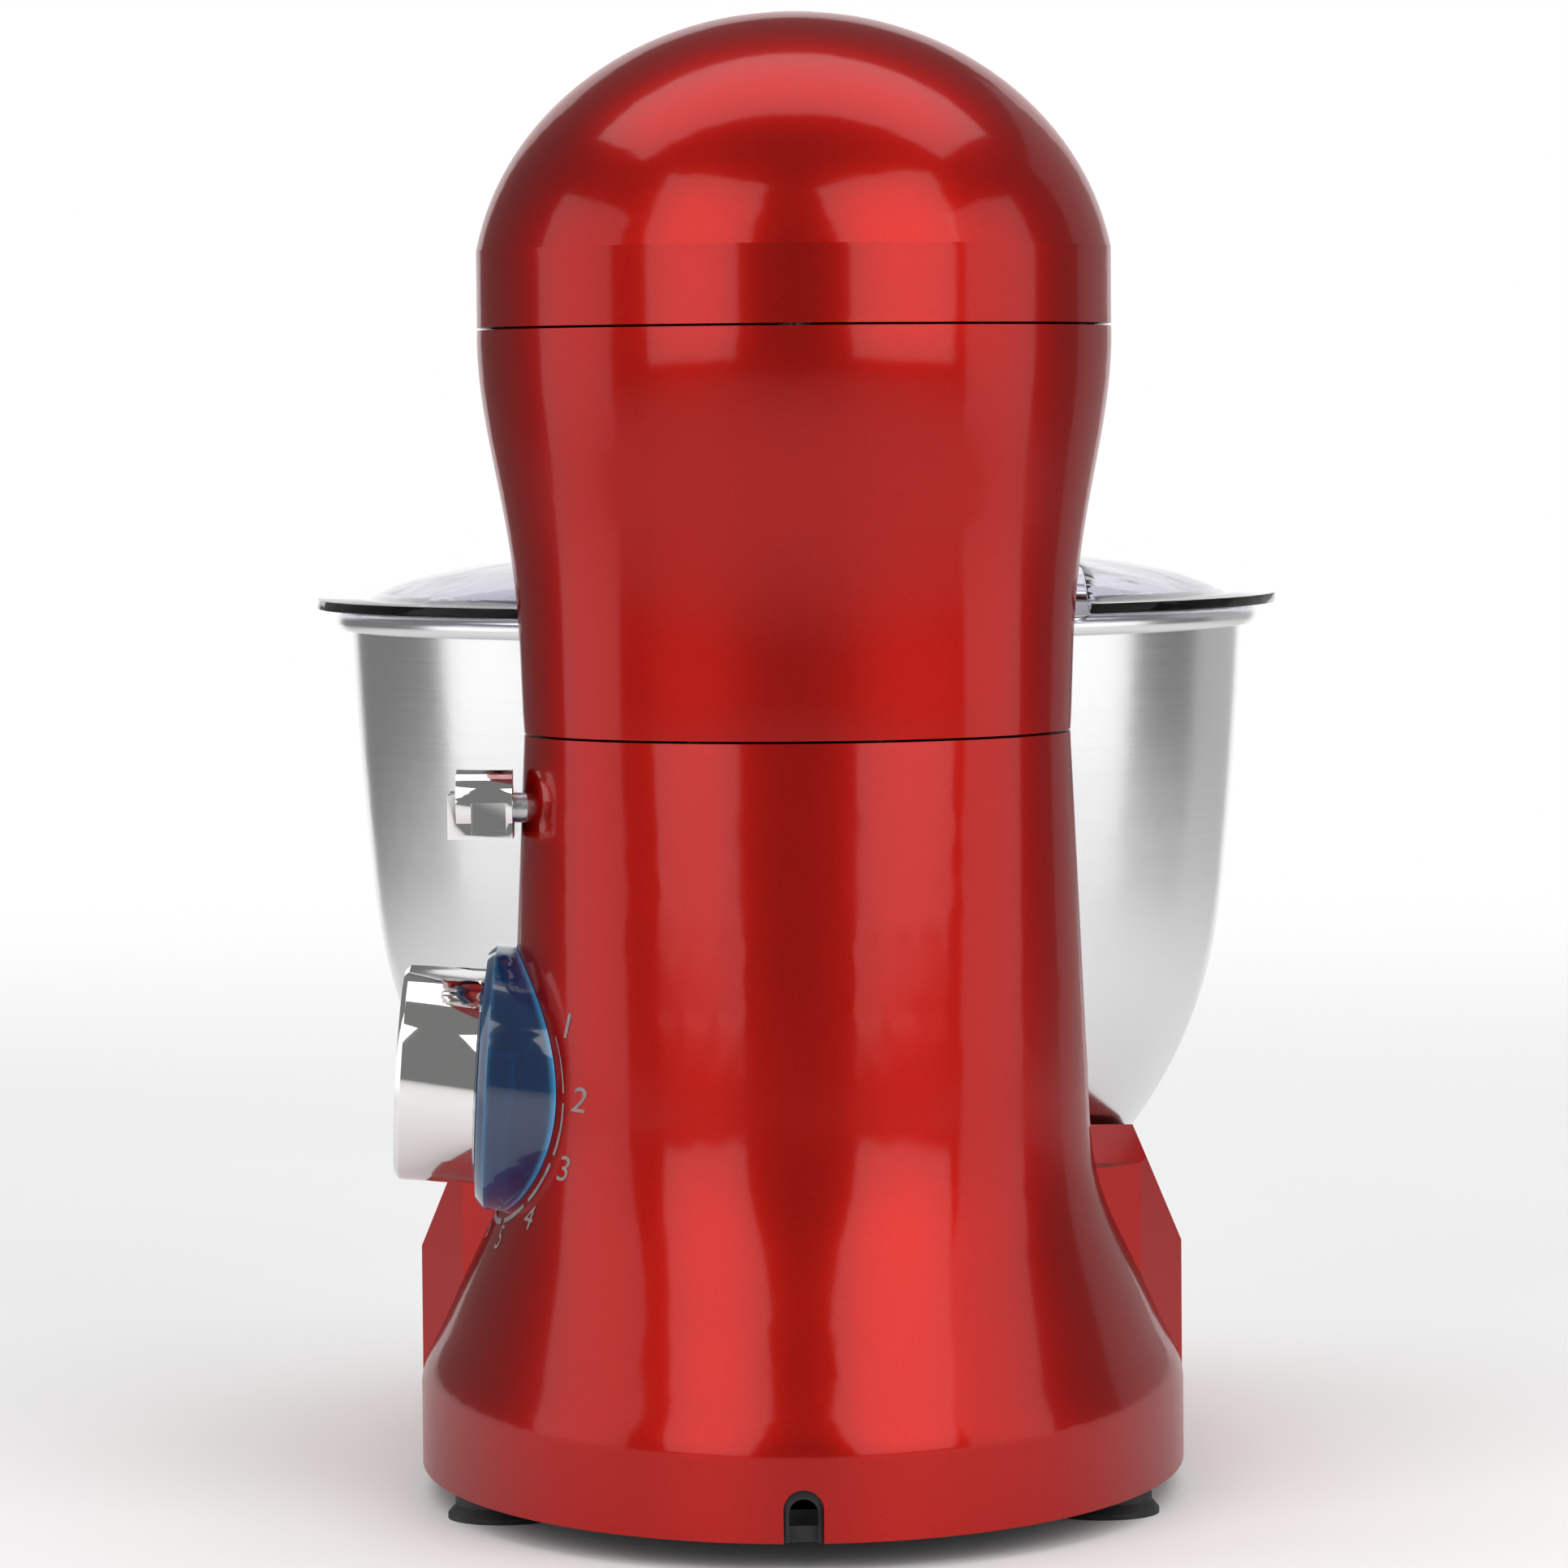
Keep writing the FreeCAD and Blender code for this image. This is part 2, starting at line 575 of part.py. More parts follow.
# the ring is turned, then shaped to sit on the column's curved side
ring_blank = set_on_knob_axis(turned("ring_blank", [
    ("4", "light_ring_inner"), ("light_ring_radius", "light_ring_inner"),
    ("light_ring_radius", "light_ring_outer - 2"), ("light_ring_radius - 2", "light_ring_outer"),
    ("4", "light_ring_outer")]))
keep(cut("light_ring", ring_blank, formed("column_side", column(-0.1))), "light_ring")

knob_blank = set_on_knob_axis(turned("knob_blank", [
    ("knob_shaft_radius", "light_ring_outer + part_gap"), ("knob_radius", "light_ring_outer + part_gap"),
    ("knob_radius", "knob_face - 1.2"), ("knob_radius - 1.2", "knob_face"), ("0", "knob_face"),
    ("0", "light_ring_outer + 9"), ("knob_shaft_radius", "light_ring_outer + 9")]))


def make_pointer_notch():
    depth = 1.4
    near = size("light_ring_outer")
    tip = 8.5
    notch = prism([vector(-size("knob_radius") - 1, -3.2, near - 1),
                   vector(-size("knob_radius") - 1, 3.2, near - 1),
                   vector(-size("knob_radius") - 1, 3.2, near + 3.5),
                   vector(-size("knob_radius") - 1, 0, near + tip),
                   vector(-size("knob_radius") - 1, -3.2, near + 3.5)], vector(1 + depth, 0, 0))
    return at_knob(notch)


keep(cut("speed_knob", knob_blank, formed("pointer_notch", make_pointer_notch())), "speed_knob")
speed_board = block("speed_board", "1.6", "26", "58", ("32", "knob_y + 8", "knob_z - 30"))
keep(speed_board, "speed_board")

# ---- release lever: shaft, hook and spring inside, handle outside ----

LEVER_FACE = "column_half_width + 2.4"
keep(cylinder("lever_shaft", "lever_shaft_radius", f"{LEVER_FACE} - 16",
              ("16", "lever_y", "lever_z"), TO_X), "lever_shaft")
lever_hub = cylinder("lever_hub", "7.6", "lever_reach - 2", (LEVER_FACE, "lever_y", "lever_z + 1.4"), TO_X)
lever_arm = padded("lever_arm", "YZ_Plane", [
    ("lever_y + 6", "lever_z - 7"), ("lever_y + 6", "lever_z + 3.2"), ("lever_y - 12", "lever_z + 3.2"),
    ("lever_y - 36", "lever_z + 0.5"), ("lever_y - 38", "lever_z - 3.5"), ("lever_y - 34", "lever_z - 7")],
    "lever_reach", (f"{LEVER_FACE} + lever_reach / 2", 0, 0))
lever_hollow = block("lever_hollow", "lever_reach - 7", "9", "7",
                     (f"{LEVER_FACE} + lever_reach / 2 - 2", "lever_y + 6", "lever_z - 5.6"))
keep(cut("release_lever", fuse("lever_form", lever_hub, lever_arm), lever_hollow), "release_lever")

hook_ring = cylinder("hook_ring", "7", "8", ("30", "lever_y", "lever_z"), TO_X)
hook_arm = padded("hook_arm", "YZ_Plane", [
    ("lever_y - 3", "lever_z + 4"), ("lever_y + 4", "lever_z + 4"), ("lever_y + 3", "lever_z + 13"),
    ("lever_y - 8", "lever_z + 13"), ("lever_y - 6", "lever_z + 10"), ("lever_y - 2", "lever_z + 9")],
    "8", ("34", 0, 0))
hook_bore = cylinder("hook_bore", "lever_shaft_radius", "40", ("10", "lever_y", "lever_z"), TO_X)
keep(cut("latch_hook", fuse("hook_form", hook_ring, hook_arm), hook_bore), "latch_hook")


def make_lever_spring():
    wire = 0.6
    radius = size("lever_shaft_radius") + 1.6
    coil = Part.makeHelix(2.2, 11, radius)
    section = Part.Wire(Part.Circle(vector(radius, 0, 0), vector(0, 1, 0.3), wire).toShape())
    spring = Part.Wire(coil).makePipeShell([section], True, True)
    spring.rotate(vector(0, 0, 0), vector(0, 1, 0), 90)
    return spring.translated(vector(42, size("lever_y"), size("lever_z")))


keep(formed("lever_spring", make_lever_spring()), "lever_spring")

# ---- the bowl ----

BOWL_CURVE = [(75, 67.5), (84.4, 78), (93.8, 93), (103.1, 117.5), (107.9, 150), (110.3, 180)]


def bowl_line(inset, top):
    """The bowl's side as a smooth curve, from the flat bottom to a height, drawn in by its wall."""
    foot = size("bowl_foot_radius")
    points = [vector(foot, 0, size("bowl_bottom") + inset)]
    points += [vector(radius - inset, 0, z + inset * 0.4) for radius, z in BOWL_CURVE]
    points.append(vector(size("bowl_rim_radius") - inset, 0, top))
    curve = Part.BSplineCurve()
    curve.interpolate(points)
    return curve


def make_bowl():
    """One spun wall whose rim is rolled outwards into a bead."""
    wall = size("bowl_wall")
    bead = size("bead_radius")
    low = size("bowl_bottom")
    rim = size("bowl_rim_height")
    outer = bowl_line(0, rim - math.sqrt(bead ** 2 - (bead - wall) ** 2))
    inner = bowl_line(wall, rim)
    widest = vector(size("bowl_rim_radius") - wall + 2 * bead, 0, rim)
    edges = [Part.LineSegment(vector(0, 0, low), outer.StartPoint), outer,
             Part.Arc(outer.EndPoint, widest, inner.EndPoint), inner,
             Part.LineSegment(inner.StartPoint, vector(0, 0, low + wall)),
             Part.LineSegment(vector(0, 0, low + wall), vector(0, 0, low))]
    section = Part.Face(Part.Wire(Part.__sortEdges__([edge.toShape() for edge in edges])))
    return bowl_axis(outward(section.revolve(vector(0, 0, 0), vector(0, 0, 1), 360)))


keep(formed("mixing_bowl", make_bowl()), "mixing_bowl")


def make_bowl_foot():
    low = size("ring_seat") - size("part_gap") - size("lug_thickness")
    plate = Part.makeCylinder(size("bowl_foot_radius"), size("bowl_bottom") - low, vector(0, 0, low))
    lugs = [sector(size("bowl_foot_radius") - 2, size("bowl_foot_radius") + size("lug_reach"), low,
                   low + size("lug_thickness"), angle, size("lug_angle")) for angle in LUG_ANGLES]
    return bowl_axis(plate.fuse(lugs))


keep(formed("bowl_foot", make_bowl_foot()), "bowl_foot")

# ---- the head's casing ----


def make_head_housing():
    """The neck and underside, its rear lip bevelled inside so that it clears the column as the head tilts."""
    shell = neck(0).cut(neck(size("skin")))
    low = size("seam_height") + size("seam_gap")
    reach = size("column_rear") - size("bevel_edge")
    half_width = size("column_half_width") - size("bevel_edge")
    deep = size("bevel_depth")
    levels = [(low - 0.01, 0), (low + 1.15 * deep, deep)]
    wires = [ring_wire(half_width - inset, 60, 50, size("column_centre"), reach - inset, z)
             for z, inset in levels]
    behind = Part.makeBox(400, 200, 40, vector(-200, size("column_front") + 2 * size("skin"), low - 10))
    bevel = outward(Part.makeLoft(wires, True, True)).common(behind)
    hole = bowl_axis(Part.makeCylinder(size("socket_radius") + 0.2, 20, vector(0, 0, size("underside") - 10)))
    return shell.cut([bevel, hole])


keep(formed("head_housing", make_head_housing()), "head_housing")
keep(formed("head_cover", dome(0).cut(dome(size("skin")))), "head_cover")
screw_heads("head_screws", [(42, -118), (-42, -118), (50, 20), (-50, 20)], "underside")

# hinge bracket: two arms on the pin, under a plate that the housing is screwed to
ARM_MIDDLE = "hinge_arm_inner + hinge_arm_width / 2"
arms = []
for side, side_name in ((1, "right"), (-1, "left")):
    arm = padded(f"arm_{side_name}", "YZ_Plane", [
        ("hinge_y - 7.5", "hinge_z + 2"), ("hinge_y + 7.5", "hinge_z + 2"), ("hinge_y - 3.5", "hinge_z + 24"),
        ("hinge_y - 32", "hinge_z + 24")], "hinge_arm_width", (f"{side} * ({ARM_MIDDLE})", 0, 0))
    eye = cylinder(f"arm_eye_{side_name}", "hinge_eye_radius - 0.3", "hinge_arm_width",
                   (f"{side} * ({ARM_MIDDLE}) - hinge_arm_width / 2", "hinge_y", "hinge_z"), TO_X)
    arms += [arm, eye]
bracket_plate = block("bracket_plate", "84", "36", "4", ("0", "hinge_y - 21.5", "hinge_z + 24"))
bracket_bore = cylinder("bracket_bore", "hinge_pin_radius + run_gap", "140",
                        ("-70", "hinge_y", "hinge_z"), TO_X)
keep(cut("hinge_bracket", fuse("bracket_form", bracket_plate, *arms), bracket_bore), "hinge_bracket")
striker_leg = block("striker_leg", "10", "4", "7.4", ("34", "lever_y - 12", "hinge_z + 16.6"))
keep(striker_leg, "latch_striker")

# ---- gears and gear case ----

PLANET_OFFSET = "gear_module * (ring_teeth - planet_teeth) / 2"
SHAFT_OFFSET = "gear_module * (output_teeth + pinion_teeth) / 2"
SPINDLE_Y = f"(bowl_y - {PLANET_OFFSET})"
PULLEY_Y = f"(bowl_y + {SHAFT_OFFSET})"
PRESSURE_ANGLE = 20


def gear_face(teeth, internal=False):
    profile = fcgear.FCWireBuilder()
    make = involute.CreateInternalGear if internal else involute.CreateExternalGear
    make(profile, size("gear_module"), teeth, PRESSURE_ANGLE)
    return Part.Face(Part.Wire([curve.toShape() for curve in profile.wire]))


def thin_toothed(teeth, bore, low, high, turn):
    """A spur gear whose teeth are a backlash thinner than their gaps, turned into mesh."""
    slack = math.degrees(size("gear_backlash") / (size("gear_module") * teeth / 2))
    first = gear_face(teeth)
    second = gear_face(teeth)
    first.rotate(vector(0, 0), vector(0, 0, 1), turn - slack)
    second.rotate(vector(0, 0), vector(0, 0, 1), turn + slack)
    blank = first.common(second)
    wheel = outward(blank.Faces[0].extrude(vector(0, 0, high - low))).translated(vector(0, 0, low))
    return wheel.cut(Part.makeCylinder(bore, high - low + 2, vector(0, 0, low - 1)))


def make_ring_gear():
    low = size("ring_gear_bottom")
    height = size("ring_gear_height")
    rim = Part.makeCylinder(size("socket_radius") - 4, height, vector(0, 0, low))
    teeth = outward(gear_face(int(size("ring_teeth")), True).extrude(vector(0, 0, height + 2)))
    teeth = teeth.translated(vector(0, 0, low - 1))
    return bowl_axis(rim.cut(teeth))


def at_y(shape, formula):
    return shape.translated(vector(0, size(formula), 0))


keep(formed("ring_gear", make_ring_gear()), "ring_gear")
planet_turn = 180 / size("planet_teeth")
planet = thin_toothed(int(size("planet_teeth")), size("spindle_radius"), size("ring_gear_bottom + 0.5"),
                      size("ring_gear_bottom + ring_gear_height - 0.5"), planet_turn)
keep(formed("planet_pinion", at_y(planet, SPINDLE_Y)), "planet_pinion")
output = thin_toothed(int(size("output_teeth")), size("carrier_shaft_radius"), size("output_bottom"),
                      size("output_bottom + output_height"), 0)
keep(formed("output_gear", at_y(output, "bowl_y")), "output_gear")
pinion = thin_toothed(int(size("pinion_teeth")), size("pulley_shaft_radius"), size("output_bottom - 1"),
                      size("output_bottom + output_height + 1"),
                      180 / size("pinion_teeth"))
keep(formed("drive_pinion", at_y(pinion, PULLEY_Y)), "drive_pinion")

case_skirt = cylinder("case_skirt", "socket_radius", "underside + 3 - socket_bottom",
                      (0, "bowl_y", "socket_bottom"))
case_main = cylinder("case_main", "socket_radius - 2", "gearcase_top - underside - 3",
                     (0, "bowl_y", "underside + 3"))
case_flange = cylinder("case_flange", "socket_radius + 9", "4", (0, "bowl_y", "underside + 3"))
case_nose = cylinder("case_nose", "20", "gearcase_top - underside - 3", (0, PULLEY_Y, "underside + 3"))
room_main = cylinder("room_main", "socket_radius - 8", "gearcase_top - underside - 7 + 1",
                     (0, "bowl_y", "underside + 7"))
room_nose = cylinder("room_nose", "15", "gearcase_top - underside - 7 + 1", (0, PULLEY_Y, "underside + 7"))
room_ring = cylinder("room_ring", "socket_radius - 4", "underside + 2 - socket_bottom + 1",
                     (0, "bowl_y", "socket_bottom - 1"))
case_bearing = cylinder("case_bearing", "11", "20", (0, "bowl_y", "underside - 2"))
case_form = fuse("case_form", case_skirt, case_main, case_flange, case_nose)
keep(cut("gear_case", case_form, room_main, room_nose, room_ring, case_bearing), "gear_case")
lid_main = cylinder("case_lid_main", "socket_radius - 2", "3", (0, "bowl_y", "gearcase_top"))
lid_nose = cylinder("case_lid_nose", "20", "3", (0, PULLEY_Y, "gearcase_top"))
lid_bore = cylinder("case_lid_bore", "9", "20", (0, PULLEY_Y, "gearcase_top - 5"))
keep(cut("gear_case_lid", fuse("case_lid_form", lid_main, lid_nose), lid_bore), "gear_case_lid")


def bearing(label, outer, shaft, low, high, at_place):
    return keep(turned(label, [(f"{shaft} + run_gap", low), (outer, low), (outer, high),
                               (f"{shaft} + run_gap", high)], (0, at_place, 0)), label)


bearing("carrier_bearing", "11", "carrier_shaft_radius", "underside + 2.4", "underside + 7", "bowl_y")
bearing("pulley_bearing", "9", "pulley_shaft_radius", "gearcase_top - 0.4", "gearcase_top + 4", PULLEY_Y)

# planet hub, its shaft, and the tool spindle
hub_blank = turned("hub_blank", [
    ("0", "hub_bottom"), ("hub_radius - 4", "hub_bottom"), ("hub_radius - 1", "hub_bottom + 1.4"),
    ("hub_radius", "hub_bottom + 4"), ("hub_radius", "hub_top"), ("0", "hub_top")], (0, "bowl_y", 0))
hub_boss = cone("hub_boss", "spindle_radius + 5", "spindle_radius + 7.5", "5",
                (0, SPINDLE_Y, "hub_bottom - 5"))
hub_bore = cylinder("hub_bore", "spindle_radius + run_gap", "40", (0, SPINDLE_Y, "hub_bottom - 12"))
keep(cut("planet_hub", fuse("hub_form", hub_blank, hub_boss), hub_bore), "planet_hub")
keep(cylinder("carrier_shaft", "carrier_shaft_radius", "gearcase_top - 1 - hub_top",
              (0, "bowl_y", "hub_top")), "carrier_shaft")
keep(cylinder("pulley_shaft", "pulley_shaft_radius", "pulley_bottom + pulley_height + 1 - underside - 8",
              (0, PULLEY_Y, "underside + 8")), "pulley_shaft")

spindle_rod = cylinder("spindle_rod", "spindle_radius", "spindle_top - spindle_low",
                       (0, SPINDLE_Y, "spindle_low"))
pin_hole = cylinder("pin_hole", "pin_radius", "40", ("-20", SPINDLE_Y, "pin_height"), TO_X)
keep(cut("tool_spindle", spindle_rod, pin_hole), "tool_spindle")
keep(cylinder("drive_pin", "pin_radius", "2 * beater_socket_radius - 4",
              ("-beater_socket_radius + 2", SPINDLE_Y, "pin_height"), TO_X), "drive_pin")


def make_beater():
    """A flat beater: a shouldered frame with a spine and ribs, under a socket that takes the spindle."""
    half = size("beater_half_width")
    low = size("beater_bottom")
    high = size("beater_shoulder")
    bar = size("beater_bar")
    depth = size("beater_thickness")
    socket_radius = size("beater_socket_radius")
    socket_low = size("socket_top - socket_length")

    def frame(inset):
        bottom_half = half * 0.5
        curve = Part.BSplineCurve()
        side = [(8 + inset * 0.1, high + 14 - inset * 1.5), (half * 0.72 - inset * 0.8, high - inset),
                (half - inset, high - 30), (half * 0.86 - inset, low + 26),
                (bottom_half - inset * 0.7, low + 4 + inset * 0.8), (0, low + inset)]
        curve.interpolate([vector(x, 0, z) for x, z in side])
        mirrored = curve.toShape().mirror(vector(0, 0, 0), vector(1, 0, 0))
        top = Part.LineSegment(curve.StartPoint, vector(-curve.StartPoint.x, 0, curve.StartPoint.z)).toShape()
        wire = Part.Wire(Part.__sortEdges__([curve.toShape(), mirrored, top]))
        return outward(Part.Face(wire).extrude(vector(0, depth, 0))).translated(vector(0, -depth / 2, 0))

    ring = frame(0).cut(frame(bar))
    spine = Part.makeBox(bar, depth, high + 12 - low - 4, vector(-bar / 2, -depth / 2, low + 4))
    ribs = []
    for height, reach in ((low + 26, half * 0.8), (low + 50, half * 0.9)):
        for side in (-1, 1):
            rib = Part.makeBox(reach, depth, bar * 0.6, vector(0, -depth / 2, 0))
            rib.rotate(vector(0, 0, 0), vector(0, 1, 0), -14)
            if side < 0:
                rib.rotate(vector(0, 0, 0), vector(0, 0, 1), 180)
            ribs.append(rib.translated(vector(0, 0, height)))
    inside = frame(2)
    ribs = [rib.common(inside) for rib in ribs]
    socket = Part.makeCylinder(socket_radius, size("socket_length"), vector(0, 0, socket_low))
    neck_bar = Part.makeCone(socket_radius * 0.8, socket_radius, 14, vector(0, 0, socket_low - 14))
    body = ring.fuse([spine, socket, neck_bar] + ribs)
    bore = Part.makeCylinder(size("spindle_radius"), 40, vector(0, 0, size("spindle_low")))
    pin_slot = Part.makeCylinder(size("pin_radius"), 2 * socket_radius - 4,
                                 vector(-socket_radius + 2, 0, size("pin_height")), vector(1, 0, 0))
    return at_y(body.cut([bore, pin_slot]), SPINDLE_Y)


keep(formed("flat_beater", make_beater()), "flat_beater")

# ---- motor and belt ----

bearing("rotor_bearing_low", "7", "rotor_shaft_radius", "rotor_low + 6", "rotor_low + 11", "motor_y")
frame_low = block("frame_low", "96", "16", "4", (0, "motor_y", "rotor_low + 2"))
frame_low_bore = cylinder("frame_low_bore", "rotor_shaft_radius + 1", "20", (0, "motor_y", "rotor_low - 1"))
keep(cut("motor_bracket_low", frame_low, frame_low_bore), "motor_bracket_low")
frame_top = block("frame_top", "92", "34", "3", (0, "motor_y", "motor_bottom + stack_height + 8"))
frame_top_bore = cylinder("frame_top_bore", "rotor_shaft_radius + 1", "20",
                          (0, "motor_y", "motor_bottom + stack_height"))
keep(cut("motor_bracket_top", frame_top, frame_top_bore), "motor_bracket_top")
stack = block("stack", "2 * stack_half_x", "2 * stack_half_y", "stack_height", (0, "motor_y", "motor_bottom"))
stack_bore = cylinder("stack_bore", "rotor_radius + air_gap", "80", (0, "motor_y", "motor_bottom - 20"))
coil_room_right = block("coil_room_right", "9", "30", "80",
                        ("rotor_radius + 6", "motor_y", "motor_bottom - 20"))
coil_room_left = block("coil_room_left", "9", "30", "80",
                       ("-rotor_radius - 6", "motor_y", "motor_bottom - 20"))
keep(cut("motor_stack", stack, stack_bore, coil_room_right, coil_room_left), "motor_stack")
coils = []
for side, side_name in ((1, "right"), (-1, "left")):
    coils.append(block(f"coil_{side_name}", "8", "29", "stack_height + 10",
                       (f"{side} * (rotor_radius + 6)", "motor_y", "motor_bottom - 5")))
coil_clear = cylinder("coil_clear", "rotor_radius + air_gap", "80", (0, "motor_y", "motor_bottom - 20"))
keep(cut("field_coils", fuse("coil_pair", *coils), coil_clear), "field_coils")
brushes = [block(f"brush_{name}", "16", "9", "9", (f"{side} * 20.5", "motor_y", "rotor_low + 16"))
           for side, name in ((1, "right"), (-1, "left"))]
brush_pair = doc.addObject("Part::Compound", "brush_holders")
brush_pair.Links = brushes
keep(brush_pair, "brush_holders")

ROTOR_PARTS = {
    "rotor_shaft": [("0", "rotor_low"), ("rotor_shaft_radius", "rotor_low"),
                    ("rotor_shaft_radius", "pulley_bottom + pulley_height + 1"),
                    ("0", "pulley_bottom + pulley_height + 1")],
    "rotor_core": [("rotor_shaft_radius", "motor_bottom"), ("rotor_radius", "motor_bottom"),
                   ("rotor_radius", "motor_bottom + stack_height"),
                   ("rotor_radius - 3", "motor_bottom + stack_height + 5"),
                   ("rotor_shaft_radius", "motor_bottom + stack_height + 5")],
    "commutator": [("rotor_shaft_radius", "rotor_low + 13"), ("11.5", "rotor_low + 13"),
                   ("11.5", "rotor_low + 27"), ("13", "rotor_low + 28"), ("13", "rotor_low + 30"),
                   ("rotor_shaft_radius", "rotor_low + 30")],
    "motor_pulley": [("rotor_shaft_radius", "pulley_bottom"), ("motor_pulley_radius", "pulley_bottom"),
                     ("motor_pulley_radius", "pulley_bottom + pulley_height"),
                     ("rotor_shaft_radius", "pulley_bottom + pulley_height")],
}
for label, outline in ROTOR_PARTS.items():
    keep(turned(label, outline, (0, "motor_y", 0)), label)


def make_fan():
    low = size("motor_bottom") + size("stack_height") + 12
    disc = Part.makeCylinder(size("fan_radius"), 1.2, vector(0, 0, low))
    hub = Part.makeCylinder(7, 7, vector(0, 0, low))
    blades = []
    for step in range(12):
        blade = Part.makeBox(size("fan_radius") - 8.5, 1, 6, vector(8, -0.5, low + 0.6))
        blade.rotate(vector(8, 0, 0), vector(0, 0, 1), 18)
        blade.rotate(vector(0, 0, 0), vector(0, 0, 1), 30 * step)
        blades.append(blade)
    bore = Part.makeCylinder(size("rotor_shaft_radius"), 20, vector(0, 0, low - 5))
    return at_y(disc.fuse([hub] + blades).cut(bore), "motor_y")


keep(formed("cooling_fan", make_fan()), "cooling_fan")
keep(turned("drive_pulley", [
    ("pulley_shaft_radius", "pulley_bottom - 3"), ("10", "pulley_bottom - 3"), ("10", "pulley_bottom + 3"),
    ("pulley_radius - 5", "pulley_bottom + 3"), ("pulley_radius - 5", "pulley_bottom"),
    ("pulley_radius", "pulley_bottom"), ("pulley_radius", "pulley_bottom + pulley_height"),
    ("pulley_radius - 5", "pulley_bottom + pulley_height"), ("pulley_radius - 5", "pulley_bottom + 6"),
    ("10", "pulley_bottom + 6"), ("10", "pulley_bottom + pulley_height"),
    ("pulley_shaft_radius", "pulley_bottom + pulley_height")], (0, PULLEY_Y, 0)), "drive_pulley")


def belt_loop(offset):
    """A face inside the loop round both pulleys, its straight runs tangent to the two arcs."""
    big = size("pulley_radius") + offset
    small = size("motor_pulley_radius") + offset
    far = size("motor_y") - size(PULLEY_Y)
    lean = math.asin((big - small) / far)
    y_big = size(PULLEY_Y)
    y_small = size("motor_y")
    right_big = vector(big * math.cos(lean), y_big + big * math.sin(lean))
    right_small = vector(small * math.cos(lean), y_small + small * math.sin(lean))
    left_big = vector(-right_big.x, right_big.y)
    left_small = vector(-right_small.x, right_small.y)
    edges = [Part.LineSegment(right_big, right_small),
             Part.Arc(right_small, vector(0, y_small + small), left_small),
             Part.LineSegment(left_small, left_big),
             Part.Arc(left_big, vector(0, y_big - big), right_big)]
    return Part.Face(Part.Wire([edge.toShape() for edge in edges]))


def make_belt():
    gap = 0.3
    height = size("pulley_height") - 2
    outer = outward(belt_loop(gap + size("belt_thickness")).extrude(vector(0, 0, height)))
    inner = outward(belt_loop(gap).extrude(vector(0, 0, height + 2))).translated(vector(0, 0, -1))
    return outer.cut(inner).translated(vector(0, 0, size("pulley_bottom") + 1))


keep(formed("drive_belt", make_belt()), "drive_belt")

# ---- the splash lid ----


def make_lid():
    flange_low = size("lid_flange_bottom")
    thick = size("lid_thickness")
    flange_top = flange_low + thick
    dome_radius = size("lid_dome_radius")
    top = size("lid_dome_top")
    collar = size("socket_radius") + 0.5
    rise = top - flange_top

    def dome_line(drop):
        low = flange_top - drop
        points = [(dome_radius, low), (dome_radius - 8, low + rise * 0.28),
                  (dome_radius - 36, low + rise * 0.74), (collar + thick, low + rise)]
        curve = Part.BSplineCurve()
        curve.interpolate([vector(r, 0, z) for r, z in points])
        return curve

    def run(points):
        return [Part.LineSegment(a, b).toShape() for a, b in zip(points, points[1:])]

    upper = dome_line(0)
    lower = dome_line(thick)
    radius = size("lid_radius")
    collar_top = top + size("lid_collar")
    inner_run = run([lower.EndPoint, vector(collar, 0, top - thick), vector(collar, 0, collar_top),
                     vector(collar + thick, 0, collar_top), upper.EndPoint])
    rim_run = run([upper.StartPoint, vector(radius, 0, flange_top), vector(radius, 0, flange_low),
                   lower.StartPoint])
    wire = Part.Wire(Part.__sortEdges__([upper.toShape(), lower.toShape()] + inner_run + rim_run))
    lid = outward(Part.Face(wire).revolve(vector(0, 0, 0), vector(0, 0, 1), 360))
    half = size("lid_feed_half")
    feed = Part.makeBox(2 * half, 120, 60, vector(size("lid_feed_x") - half, 42, flange_low - 20))
    inner_edges = [edge for edge in feed.Edges
                   if all(abs(v.Y - 42) < 1e-6 for v in edge.Vertexes)
                   and abs(edge.Vertexes[0].Z - edge.Vertexes[-1].Z) > 1]
    return bowl_axis(lid.cut(feed.makeFillet(8, inner_edges)))


keep(formed("splash_lid", make_lid()), "splash_lid")

# ---- checks and export ----

doc.recompute()
faults = [item.Name for item in doc.Objects if any(word in item.State for word in ("Invalid", "Error"))]
for piece in pieces:
    if piece.Shape.isNull() or not piece.Shape.isValid():
        faults.append(piece.Label)
if faults:
    raise SystemExit("failed: " + ", ".join(faults))
for piece in pieces:
    piece.Shape.exportStep(f"parts/{piece.Label}.step")
print(len(pieces), "pieces written")
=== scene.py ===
import json
import math

import bpy
from mathutils import Matrix, Vector


